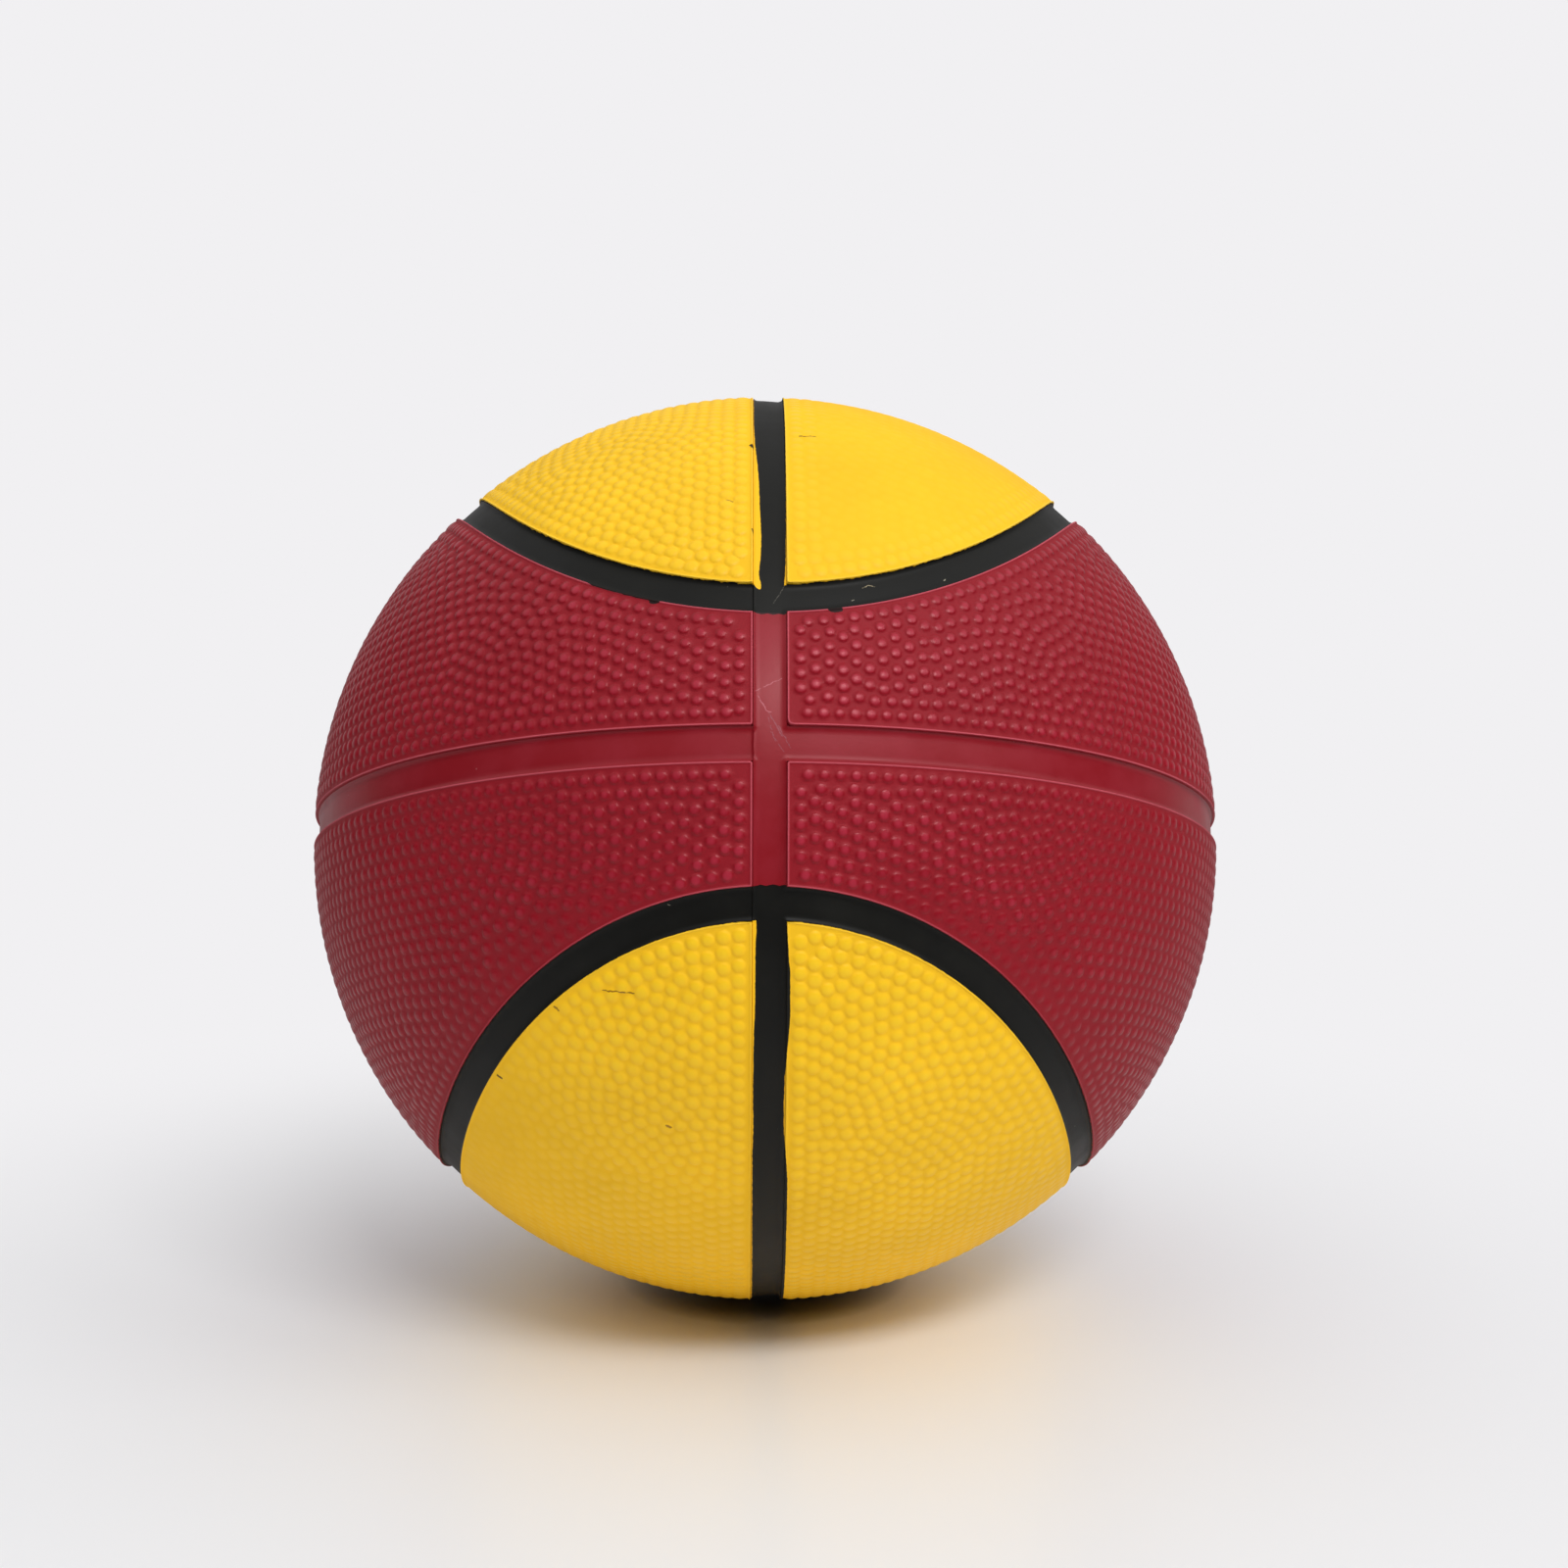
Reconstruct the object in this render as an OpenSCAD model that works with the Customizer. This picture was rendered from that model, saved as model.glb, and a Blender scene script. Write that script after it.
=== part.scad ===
// Small rubber basketball with eight cover panels, as it lies with its front turned up.
// The ball's centre is the origin, +Z is up and the front faces -Y.
// Pattern axes: the upright channel lies in the plane x = 0, the level channel in z = 0,
// and each curved channel is where a cylinder along Y cuts the ball.

/* [Ball] */
// Diameter over the raised panels
ball_d = 178; // [140:1:250]
// Angle by which the pattern's front is turned up as the ball lies
lie_tilt = 20; // [0:1:90]

/* [Cover] */
// Thickness of a cover panel, its pebbles included
panel_t = 1.7; // [1.4:0.1:3]
// Thickness of the strips at the bottom of the channels
strip_t = 0.6; // [0.3:0.1:1.1]
// Width of the upright channel
upright_w = 5.6; // [3:0.1:8]
// Width of the level channel
level_w = 6; // [3:0.1:8]
// Width of the two curved channels
loop_w = 5.6; // [3:0.1:8]
// Angle of a curved channel above the level one, at the front and back
loop_front_angle = 17.2; // [12:0.1:24]
// Angle of a curved channel above the level one, at the sides
loop_side_angle = 47.4; // [40:0.1:56]

/* [Layers] */
// Thickness of the rubber carcass under the cover
carcass_t = 0.5; // [0.3:0.1:2]
// Thickness of the nylon thread winding
winding_t = 0.3; // [0.2:0.1:1]
// Wall of the bladder
bladder_t = 0.7; // [0.5:0.1:2]
// Clearance drawn between two bonded pieces
bond_gap = 0.05; // [0.03:0.01:0.1]

/* [Valve] */
// Radius of the hole that guides the inflation needle
needle_r = 1.2; // [0.8:0.1:1.5]
// Depth of that hole
needle_depth = 6; // [3:0.5:8]
// Radius of the self-sealing core
core_r = 2.6; // [2.2:0.1:3.2]
// Length of the core
core_len = 12; // [10:0.5:14]
// Height of the core's retaining rib
rib_h = 0.4; // [0.2:0.1:0.6]
// Width of that rib
rib_w = 1.6; // [1:0.1:2.5]
// Wall of the boot around the core
boot_wall = 1.5; // [1:0.1:2.2]
// Length of the boot, from its face inwards
boot_len = 16; // [15:0.5:24]
// How far the boot's face lies below the top of the panels
face_drop = 0.3; // [0.1:0.05:0.6]
// How far the core's face lies below the boot's
core_drop = 0.3; // [0.1:0.05:0.6]
// Radius of the boot's flange inside the bladder
flange_r = 11; // [8:0.5:16]
// Thickness of that flange
flange_t = 1.2; // [0.6:0.1:2.5]
// Radius of the patch that joins the flange to the bladder
patch_r = 15; // [12:0.5:24]
// Thickness of the patch
patch_t = 0.6; // [0.4:0.1:1.5]

/* [Hidden] */

YELLOW = "#E0A922";
MAROON = "#8E1B28";
BLACK = "#2A2A28";
LATEX = "#B98F5A";
NYLON = "#E8E4D8";

LEFT = -1;
RIGHT = 1;
UP = 1;
DOWN = -1;
FRONT = -1;
BACK = 1;

// Radii of the layers, from the outside in
ball_r = ball_d / 2;
bed_r = ball_r - panel_t;
strip_r = bed_r + strip_t;
carcass_r = bed_r - bond_gap;
winding_r = carcass_r - carcass_t - bond_gap;
bladder_r = winding_r - winding_t - bond_gap;
patch_top_r = bladder_r - bladder_t - bond_gap;
flange_top_r = patch_top_r - patch_t - bond_gap;

// The cylinder of a curved channel passes through the channel's middle at the front and at the
// sides of the ball: these two angles give the height of its axis and its radius.
loop_z = ball_r * pow(cos(loop_front_angle), 2)
    / (2 * (sin(loop_side_angle) - sin(loop_front_angle)));
loop_r = loop_z - ball_r * sin(loop_front_angle);
loop_half = loop_w * cos(loop_front_angle) / 2;
loop_in_r = loop_r - loop_half;
loop_out_r = loop_r + loop_half;

// Radii and heights along the valve's axis, measured from the ball's centre
face_r = ball_r - face_drop;
core_face_r = face_r - core_drop;
core_end = core_face_r - core_len;
boot_end = face_r - boot_len;
cavity_r = core_r + bond_gap;
neck_r = cavity_r + boot_wall;

// Overrun of blocks and rods that cut or bound a layer
reach = ball_d;

$fn = 96;

// Turns the pattern to the way the ball lies.
module lying() {
    rotate([-lie_tilt, 0, 0])
        children();
}

// A hollow ball between two radii.
module layer(outer_r, inner_r) {
    difference() {
        sphere(r = outer_r);
        sphere(r = inner_r);
    }
}

// The quarter of space to one side and above or below, from two distances outwards.
module quarter(side_x, side_z, x_from, z_from) {
    width = reach - x_from;
    height = reach - z_from;
    translate([side_x * (x_from + width / 2), 0, side_z * (z_from + height / 2)])
        cube([width, 2 * reach, height], center = true);
}

// A flat slice of space around the plane x = 0.
module upright_slice(width) {
    cube([width, 2 * reach, 2 * reach], center = true);
}

// A flat slice of space around the plane z = 0, on the front or back half.
module level_slice(width, side_y) {
    depth = reach - bond_gap / 2;
    translate([0, side_y * (bond_gap / 2 + depth / 2), 0])
        cube([2 * reach, depth, width], center = true);
}

// The cylinder along Y that a curved channel follows.
module loop_rod(side_z, radius) {
    translate([0, 0, side_z * loop_z])
        rotate([90, 0, 0])
            cylinder(r = radius, h = 2 * reach, center = true);
}

// Carries what is drawn along Z to the valve's axis, which is +X.
module valve_axis() {
    rotate([0, 90, 0])
        children();
}

// The hole that every layer leaves for the neck of the boot.
module valve_hole() {
    valve_axis()
        cylinder(r = neck_r + bond_gap, h = reach);
}

// A closed layer of the ball with the valve's hole in it.
module pierced_layer(outer_r, thickness) {
    difference() {
        layer(outer_r, outer_r - thickness);
        valve_hole();
    }
}

// The cut through a layer of the ball, beside the valve's axis and out to a radius.
module layer_cut(outer_r, thickness, radius) {
    intersection() {
        difference() {
            circle(r = outer_r);
            circle(r = outer_r - thickness);
        }
        square([radius, reach]);
    }
}

// The core's outline beside its own axis: a plain plug with a retaining rib near its inner end.
// The boot's cavity is the same outline with a clearance all round.
module core_cut(clearance, low, high) {
    rib_low = core_end + rib_w - clearance;
    rib_high = core_end + 2 * rib_w + clearance;
    plain_r = core_r + clearance;
    ribbed_r = plain_r + rib_h;
    polygon([
        [0, low],
        [plain_r, low],
        [plain_r, rib_low],
        [ribbed_r, rib_low + rib_h / 2],
        [ribbed_r, rib_high - rib_h / 2],
        [plain_r, rib_high],
        [plain_r, high],
        [0, high]
    ]);
}

module bladder() {
    color(BLACK)
        lying()
            pierced_layer(bladder_r, bladder_t);
}

module valve_patch() {
    color(BLACK)
        lying()
            valve_axis()
                rotate_extrude()
                    difference() {
                        layer_cut(patch_top_r, patch_t, patch_r);
                        square([neck_r + bond_gap, reach]);
                    }
}

module valve_core() {
    color(LATEX)
        lying()
            valve_axis()
                rotate_extrude()
                    difference() {
                        intersection() {
                            core_cut(0, core_end, reach);
                            circle(r = core_face_r);
                        }
                        translate([0, core_face_r - needle_depth])
                            square([needle_r, reach]);
                    }
}

module valve_boot() {
    color(BLACK)
        lying()
            valve_axis()
                rotate_extrude()
                    difference() {
                        union() {
                            intersection() {
                                circle(r = face_r);
                                translate([0, boot_end])
                                    square([neck_r, reach]);
                            }
                            layer_cut(flange_top_r, flange_t, flange_r);
                        }
                        core_cut(bond_gap, 0, reach);
                    }
}

module winding() {
    color(NYLON)
        lying()
            pierced_layer(winding_r, winding_t);
}

module carcass() {
    color(LATEX)
        lying()
            pierced_layer(carcass_r, carcass_t);
}

// A panel inside a curved channel, split from its twin by the upright channel.
module loop_panel(side_x, side_z) {
    color(YELLOW)
        lying()
            intersection() {
                layer(ball_r, bed_r);
                quarter(side_x, side_z, upright_w / 2, 0);
                loop_rod(side_z, loop_in_r);
            }
}

// A panel between the level channel and a curved one, round the side of the ball.
module side_panel(side_x, side_z) {
    color(MAROON)
        lying()
            difference() {
                intersection() {
                    layer(ball_r, bed_r);
                    quarter(side_x, side_z, upright_w / 2, level_w / 2);
                }
                loop_rod(side_z, loop_out_r);
                valve_hole();
            }
}

// The whole strip of a curved channel.
module loop_strip(side_z) {
    color(BLACK)
        lying()
            difference() {
                intersection() {
                    layer(strip_r, bed_r);
                    loop_rod(side_z, loop_out_r - bond_gap);
                }
                loop_rod(side_z, loop_in_r + bond_gap);
            }
}

// The strip of the upright channel inside a curved one, over or under the ball.
module cap_strip(side_z) {
    color(BLACK)
        lying()
            intersection() {
                layer(strip_r, bed_r);
                upright_slice(upright_w - 2 * bond_gap);
                loop_rod(side_z, loop_in_r);
            }
}

// The short strip of the upright channel between the level channel and a curved one.
module short_strip(side_y, side_z) {
    color(MAROON)
        lying()
            difference() {
                intersection() {
                    layer(strip_r, bed_r);
                    upright_slice(upright_w - 2 * bond_gap);
                    translate([0, side_y * reach / 2, side_z * (level_w + reach) / 2])
                        cube([reach, reach, reach], center = true);
                }
                loop_rod(side_z, loop_out_r);
            }
}

// Half of the level channel's strip, from the valve to the point opposite it.
module level_strip(side_y) {
    color(MAROON)
        lying()
            difference() {
                intersection() {
                    layer(strip_r, bed_r);
                    level_slice(level_w - 2 * bond_gap, side_y);
                }
                valve_hole();
            }
}

module crown_panel_left() { loop_panel(LEFT, UP); }
module crown_panel_right() { loop_panel(RIGHT, UP); }
module base_panel_left() { loop_panel(LEFT, DOWN); }
module base_panel_right() { loop_panel(RIGHT, DOWN); }
module upper_side_panel_left() { side_panel(LEFT, UP); }
module upper_side_panel_right() { side_panel(RIGHT, UP); }
module lower_side_panel_left() { side_panel(LEFT, DOWN); }
module lower_side_panel_right() { side_panel(RIGHT, DOWN); }
module crown_loop_strip() { loop_strip(UP); }
module base_loop_strip() { loop_strip(DOWN); }
module crown_strip() { cap_strip(UP); }
module base_strip() { cap_strip(DOWN); }
module front_upper_strip() { short_strip(FRONT, UP); }
module front_lower_strip() { short_strip(FRONT, DOWN); }
module back_upper_strip() { short_strip(BACK, UP); }
module back_lower_strip() { short_strip(BACK, DOWN); }
module level_strip_front() { level_strip(FRONT); }
module level_strip_back() { level_strip(BACK); }

bladder();
valve_patch();
valve_boot();
valve_core();
winding();
carcass();
crown_panel_left();
crown_panel_right();
base_panel_left();
base_panel_right();
upper_side_panel_left();
upper_side_panel_right();
lower_side_panel_left();
lower_side_panel_right();
crown_loop_strip();
base_loop_strip();
crown_strip();
base_strip();
front_upper_strip();
front_lower_strip();
back_upper_strip();
back_lower_strip();
level_strip_front();
level_strip_back();
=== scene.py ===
"""Looks of a small rubber basketball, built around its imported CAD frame.

Shapes are worked out in millimetres in pattern axes: X to the right, Y to the back and Z up, with
the upright channel in the plane x = 0 and the level channel in z = 0. They are then turned the
way the ball lies and put into meshes in metres.
"""

import sys
import logging
import math
from dataclasses import dataclass, field
from enum import IntEnum
from typing import Any, Optional

import bpy
import numpy as np
from bpy.types import Material, Node, NodeSocket, NodeTree, Object
from mathutils import Euler, Matrix, Vector


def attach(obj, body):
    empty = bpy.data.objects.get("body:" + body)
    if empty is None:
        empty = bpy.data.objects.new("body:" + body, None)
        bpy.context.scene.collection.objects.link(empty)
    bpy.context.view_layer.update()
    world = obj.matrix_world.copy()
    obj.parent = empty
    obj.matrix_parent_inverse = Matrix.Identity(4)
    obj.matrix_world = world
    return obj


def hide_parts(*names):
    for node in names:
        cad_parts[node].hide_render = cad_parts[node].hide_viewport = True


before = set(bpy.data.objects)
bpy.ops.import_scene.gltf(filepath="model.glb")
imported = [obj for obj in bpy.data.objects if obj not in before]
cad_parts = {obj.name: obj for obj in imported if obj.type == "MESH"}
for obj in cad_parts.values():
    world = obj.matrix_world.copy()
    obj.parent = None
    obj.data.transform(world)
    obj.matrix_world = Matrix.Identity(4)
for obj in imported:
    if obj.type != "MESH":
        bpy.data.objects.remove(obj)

LOG = logging.getLogger("basketball")

MM = 0.001
# Edges of a mesh that turn by more than this stay sharp
SHARP_ANGLE = math.radians(60.0)
# Grid points whose nearest pebble is looked up in one go
CHUNK = 8192
# Half the width of the soft line at which a neighbour's paint ends, in millimetres
PAINT_BLUR = 0.02
# How far a scuff's ragged outline strays to both sides together, in millimetres
SCUFF_JITTER = 0.5
# Share of a scuff's half width over which its edge fades to each side
SCUFF_BLUR = 0.3
# Radians that the wave texture turns through for each unit of its scaled coordinate
WAVE_RATE = 20.0

# Distances in from a panel's edge, in millimetres, at which its grid lines lie
EDGE_STEPS = np.array([0.0, 0.05, 0.11, 0.18, 0.26, 0.35, 0.48, 0.75, 1.25])
# How far the panel's face lies below the pebble tops at those distances: a wall, a rounded lip
# that stands up as a thin bead, and the flat margin that the pebbles stand on
EDGE_DROPS = np.array([1.18, 0.66, 0.40, 0.27, 0.24, 0.29, 0.40, 0.44, 0.45])


class Side(IntEnum):
    """The side of the upright channel that a piece is on."""

    LEFT = -1
    RIGHT = 1


class Level(IntEnum):
    """The side of the level channel that a piece is on."""

    LOWER = -1
    UPPER = 1


class End(IntEnum):
    """The half of the ball that a piece is on."""

    FRONT = -1
    BACK = 1


def smooth_step(values: np.ndarray, start: float, end: float) -> np.ndarray:
    """Rises smoothly from 0 at start to 1 at end.

    Args:
        values: Where to take it.
        start: Value at which it leaves 0.
        end: Value at which it reaches 1; it may lie below start.

    Returns:
        Three t squared minus two t cubed, t being the clipped share of the way.
    """
    share = np.clip((values - start) / (end - start), 0.0, 1.0)
    return share * share * (3.0 - 2.0 * share)


def line_weights(count: int, crowding: float = 0.0) -> tuple[np.ndarray, np.ndarray, np.ndarray]:
    """Weights that place grid lines across a panel, close together near both edges.

    A line lies at (low stretch x first weight) + (high stretch x second weight) + (length x
    third weight): EDGE_STEPS in from each edge, and spread between.

    Args:
        count: Number of lines.
        crowding: How much closer than on average the spread lines lie at both ends, from 0
            to 1; a sine wave takes that share away from the even spread.

    Returns:
        The three weights of each line.
    """
    edge = len(EDGE_STEPS)
    share = np.linspace(0.0, 1.0, count - 2 * edge + 2)[1:-1]
    share = share - crowding * np.sin(2.0 * math.pi * share) / (2.0 * math.pi)
    nothing = np.zeros(edge)
    low = np.concatenate([EDGE_STEPS, EDGE_STEPS[-1] * (1.0 - share), nothing])
    high = np.concatenate([nothing, -EDGE_STEPS[-1] * share, -EDGE_STEPS[::-1]])
    length = np.concatenate([nothing, share, nothing + 1.0])
    return low, high, length


def unit(vectors: np.ndarray) -> np.ndarray:
    """Scales vectors to length 1."""
    return vectors / np.linalg.norm(vectors, axis=-1, keepdims=True)


def sphere_point(lat: np.ndarray, lon: np.ndarray) -> np.ndarray:
    """The unit vector at a latitude and at a longitude counted from the front, -Y, towards +X."""
    lat, lon = np.broadcast_arrays(lat, lon)
    return np.stack([np.cos(lat) * np.sin(lon), -np.cos(lat) * np.cos(lon), np.sin(lat)], axis=-1)


@dataclass(frozen=True)
class BallPattern:
    """Sizes of the ball and of its channels, in millimetres and degrees.

    They are the CAD part's own, and then the fillet at the foot of the channels' walls and the
    depth of the channels' floor below the CAD strips' face. The slope is how much the radius of
    a curved channel's cylinder grows, on average, with a step outwards on the ball.
    """

    ball_r: float = 89.0
    bed_r: float = 87.3
    strip_r: float = 87.9
    upright_w: float = 5.6
    level_w: float = 6.0
    loop_w: float = 5.6
    loop_front_angle: float = 17.2
    loop_side_angle: float = 47.4
    lie_tilt: float = 20.0
    hole_r: float = 4.2
    fillet_r: float = 0.95
    fillet_h: float = 0.38
    floor_drop: float = 0.06
    loop_slope: float = 0.945

    @property
    def lying(self) -> np.ndarray:
        """The turn from pattern axes to the way the ball lies."""
        return np.array(Matrix.Rotation(-math.radians(self.lie_tilt), 3, "X"))

    @property
    def upright(self) -> float:
        """Half the upright channel's width, in ball radii."""
        return self.upright_w / 2 / self.ball_r

    @property
    def level(self) -> float:
        """Half the level channel's width, in ball radii."""
        return self.level_w / 2 / self.ball_r

    @property
    def loop_z(self) -> float:
        """Height of the axis of a curved channel's cylinder, in ball radii."""
        front = math.radians(self.loop_front_angle)
        side = math.radians(self.loop_side_angle)
        return math.cos(front) ** 2 / (2 * (math.sin(side) - math.sin(front)))

    @property
    def loop_half(self) -> float:
        """Half the difference of the two cylinders that bound a curved channel, in ball radii."""
        return self.loop_w / 2 / self.ball_r * math.cos(math.radians(self.loop_front_angle))

    @property
    def loop_mid(self) -> float:
        """Radius of a curved channel's cylinder, in ball radii."""
        return self.loop_z - math.sin(math.radians(self.loop_front_angle))

    @property
    def loop_in(self) -> float:
        """Radius of the cylinder at the yellow panels' edge, in ball radii."""
        return self.loop_mid - self.loop_half

    @property
    def loop_out(self) -> float:
        """Radius of the cylinder at the maroon panels' edge, in ball radii."""
        return self.loop_mid + self.loop_half

    def loop_distance(self, points: np.ndarray, radius: float) -> np.ndarray:
        """Distance along the surface from a curved channel's edge, positive outside it.

        The distance to the cylinder is divided by the slope at which the surface leaves it.

        Args:
            points: Unit vectors in pattern axes, in the upper half.
            radius: The edge's cylinder radius, in ball radii.

        Returns:
            The distances in millimetres.
        """
        across = points[..., 0]
        height = points[..., 2] - self.loop_z
        reach = np.hypot(across, height)
        lean = (across**2 + points[..., 2] * height) / reach
        return self.ball_r * (reach - radius) / np.sqrt(np.maximum(1.0 - lean**2, 1e-4))

    def loop_curve(self, turn: np.ndarray, radius: np.ndarray) -> np.ndarray:
        """Where a curved channel's cylinder cuts the ball.

        With the turn t from the front round the side to the back, the cylinder's angle from
        straight down is 2 asin(sin(its largest half angle) sin t), and y follows cos t.

        Args:
            turn: Angles along the curve, 0 at the front and pi at the back.
            radius: Cylinder radii, in ball radii.

        Returns:
            Unit vectors in pattern axes.
        """
        turn, radius = np.broadcast_arrays(turn, radius)
        widest = (self.loop_z**2 + radius**2 - 1.0) / (2.0 * self.loop_z * radius)
        half = np.sqrt((1.0 - widest) / 2.0)
        angle = 2.0 * np.arcsin(half * np.sin(turn))
        depth = np.sqrt(2.0 * self.loop_z * radius * (1.0 - widest))
        return np.stack(
            [radius * np.sin(angle), -depth * np.cos(turn), self.loop_z - radius * np.cos(angle)],
            axis=-1,
        )

    def floor_r(self, points: np.ndarray) -> np.ndarray:
        """Radius of the channels' floor: level in the middle, and rising to the panel walls.

        The rise grows with the square of the nearness to the closest wall. Near a corner of a
        panel the distance is measured to the corner.

        Args:
            points: Unit vectors in pattern axes.

        Returns:
            The radii in millimetres.
        """
        folded = np.abs(points)
        upright = np.maximum(self.ball_r * (self.upright - folded[..., 0]), 0.0)
        level = np.maximum(self.ball_r * (self.level - folded[..., 2]), 0.0)
        outside = np.maximum(-self.loop_distance(folded, self.loop_out), 0.0)
        inside = np.maximum(self.loop_distance(folded, self.loop_in), 0.0)
        to_side_panel = np.sqrt(upright**2 + level**2 + outside**2)
        to_loop_panel = np.hypot(upright, inside)
        gap = np.minimum(to_side_panel, to_loop_panel)
        nearness = np.clip(1.0 - gap / self.fillet_r, 0.0, 1.0)
        return self.strip_r - self.floor_drop + self.fillet_h * nearness**2


PATTERN = BallPattern()


def make_piece(
    name: str,
    points: np.ndarray,
    faces: list[np.ndarray],
    fields: Optional[dict[str, np.ndarray]] = None,
) -> Object:
    """Puts a surface into a mesh object at the origin, turned the way the ball lies.

    Args:
        name: Name of the piece.
        points: Vertices in millimetres, in pattern axes.
        faces: Groups of faces, one array of vertex numbers for each number of corners.
        fields: Values at the vertices, by name, for the material to read.

    Returns:
        The object.
    """
    mesh = bpy.data.meshes.new(name)
    turned = (points @ PATTERN.lying.T * MM).astype(np.float32)
    corners = np.concatenate([group.ravel() for group in faces]).astype(np.int32)
    sizes = np.concatenate([np.full(len(group), group.shape[1]) for group in faces])
    starts = np.concatenate([[0], np.cumsum(sizes)[:-1]]).astype(np.int32)
    mesh.vertices.add(len(turned))
    mesh.vertices.foreach_set("co", turned.ravel())
    mesh.loops.add(len(corners))
    mesh.loops.foreach_set("vertex_index", corners)
    mesh.polygons.add(len(starts))
    mesh.polygons.foreach_set("loop_start", starts)
    mesh.update(calc_edges=True)
    for field_name, values in (fields or {}).items():
        layer = mesh.attributes.new(field_name, "FLOAT", "POINT")
        layer.data.foreach_set("value", values.astype(np.float32).ravel())
    mesh.shade_smooth()
    mesh.set_sharp_from_angle(angle=SHARP_ANGLE)
    piece = bpy.data.objects.new(name, mesh)
    bpy.context.scene.collection.objects.link(piece)
    return piece


def outward(points: np.ndarray, faces: list[np.ndarray], probe: int) -> list[np.ndarray]:
    """Turns all faces round if one of them faces the wrong way.

    Args:
        points: Vertices in pattern axes.
        faces: Groups of faces that agree with each other.
        probe: Number of a face in the first group that has to face away from the centre.

    Returns:
        The groups of faces, facing outwards.
    """
    first, second, third = points[faces[0][probe][:3]]
    away = np.dot(np.cross(second - first, third - second), first)
    return faces if away > 0 else [group[:, ::-1] for group in faces]


def panel_body(
    grid: np.ndarray, top_r: np.ndarray, bed_r: float, inner_rows: int = 8
) -> tuple[np.ndarray, list[np.ndarray]]:
    """Closes a panel's face with a wall down to its bed and a coarser inner face.

    The inner face has the same columns and fewer rows; where it meets the wall's many points
    at the two ends, its faces have as many corners as they need.

    Args:
        grid: Unit vectors of the face, columns by rows by three.
        top_r: Radius of the face at each of them, in millimetres.
        bed_r: Radius of the inner face.
        inner_rows: Rows of the inner face; they divide the rows of the face.

    Returns:
        The vertices and the groups of faces.
    """
    columns, rows = top_r.shape
    step = (rows - 1) // inner_rows
    top = np.arange(columns * rows).reshape(columns, rows)
    around = np.concatenate([top[:-1, 0], top[-1, :-1], top[:0:-1, -1], top[0, :0:-1]])
    low = np.full((columns, rows), -1)
    low.flat[around] = columns * rows + np.arange(len(around))
    coarse = low[:, ::step].copy()
    inside = coarse < 0
    coarse[inside] = columns * rows + len(around) + np.arange(inside.sum())
    flat = grid.reshape(-1, 3)
    points = np.concatenate(
        [flat * top_r.reshape(-1, 1), flat[around] * bed_r, grid[:, ::step][inside] * bed_r]
    )
    face = np.stack([top[:-1, :-1], top[1:, :-1], top[1:, 1:], top[:-1, 1:]], axis=-1)
    ring = low.flat[around]
    wall = np.stack([np.roll(around, -1), around, ring, np.roll(ring, -1)], axis=-1)
    inner = np.stack(
        [coarse[1:-2, :-1], coarse[1:-2, 1:], coarse[2:-1, 1:], coarse[2:-1, :-1]], axis=-1
    )
    spans = np.arange(inner_rows)[:, None] * step + np.arange(step + 1)
    first = np.column_stack([low[0][spans], coarse[1, 1:], coarse[1, :-1]])
    last = np.column_stack([low[-1][spans][:, ::-1], coarse[-2, :-1], coarse[-2, 1:]])
    quads = np.concatenate([face.reshape(-1, 4), wall, inner.reshape(-1, 4)])
    faces = [quads, np.concatenate([first, last])]
    middle = (columns // 2) * (rows - 1) + rows // 2
    return points, outward(points, faces, middle)


def ribbon_body(
    grid: np.ndarray, top_r: np.ndarray, bed_r: float, closed: bool
) -> tuple[np.ndarray, list[np.ndarray]]:
    """Closes a strip's face with two sides, an underside and, if it is open, two ends.

    Args:
        grid: Unit vectors of the face, lines along the strip by points across by three.
        top_r: Radius of the face at each of them, in millimetres.
        bed_r: Radius of the underside.
        closed: Whether the strip runs into itself.

    Returns:
        The vertices and the groups of faces.
    """
    along, across = top_r.shape
    top = np.arange(along * across).reshape(along, across)
    low = along * across + np.arange(2 * along).reshape(along, 2)
    points = np.concatenate(
        [(grid * top_r[..., None]).reshape(-1, 3), (grid[:, [0, -1]] * bed_r).reshape(-1, 3)]
    )
    section = np.concatenate([top, low[:, ::-1]], axis=1)
    after = np.roll(section, -1, axis=0) if closed else section[1:]
    before = section if closed else section[:-1]
    quads = np.stack(
        [before, after, np.roll(after, -1, axis=1), np.roll(before, -1, axis=1)], axis=-1
    )
    faces = [quads.reshape(-1, 4)]
    if not closed:
        faces.append(np.stack([section[0], section[-1][::-1]]))
    return points, outward(points, faces, (along // 2) * (across + 2) + across // 2)


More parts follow.
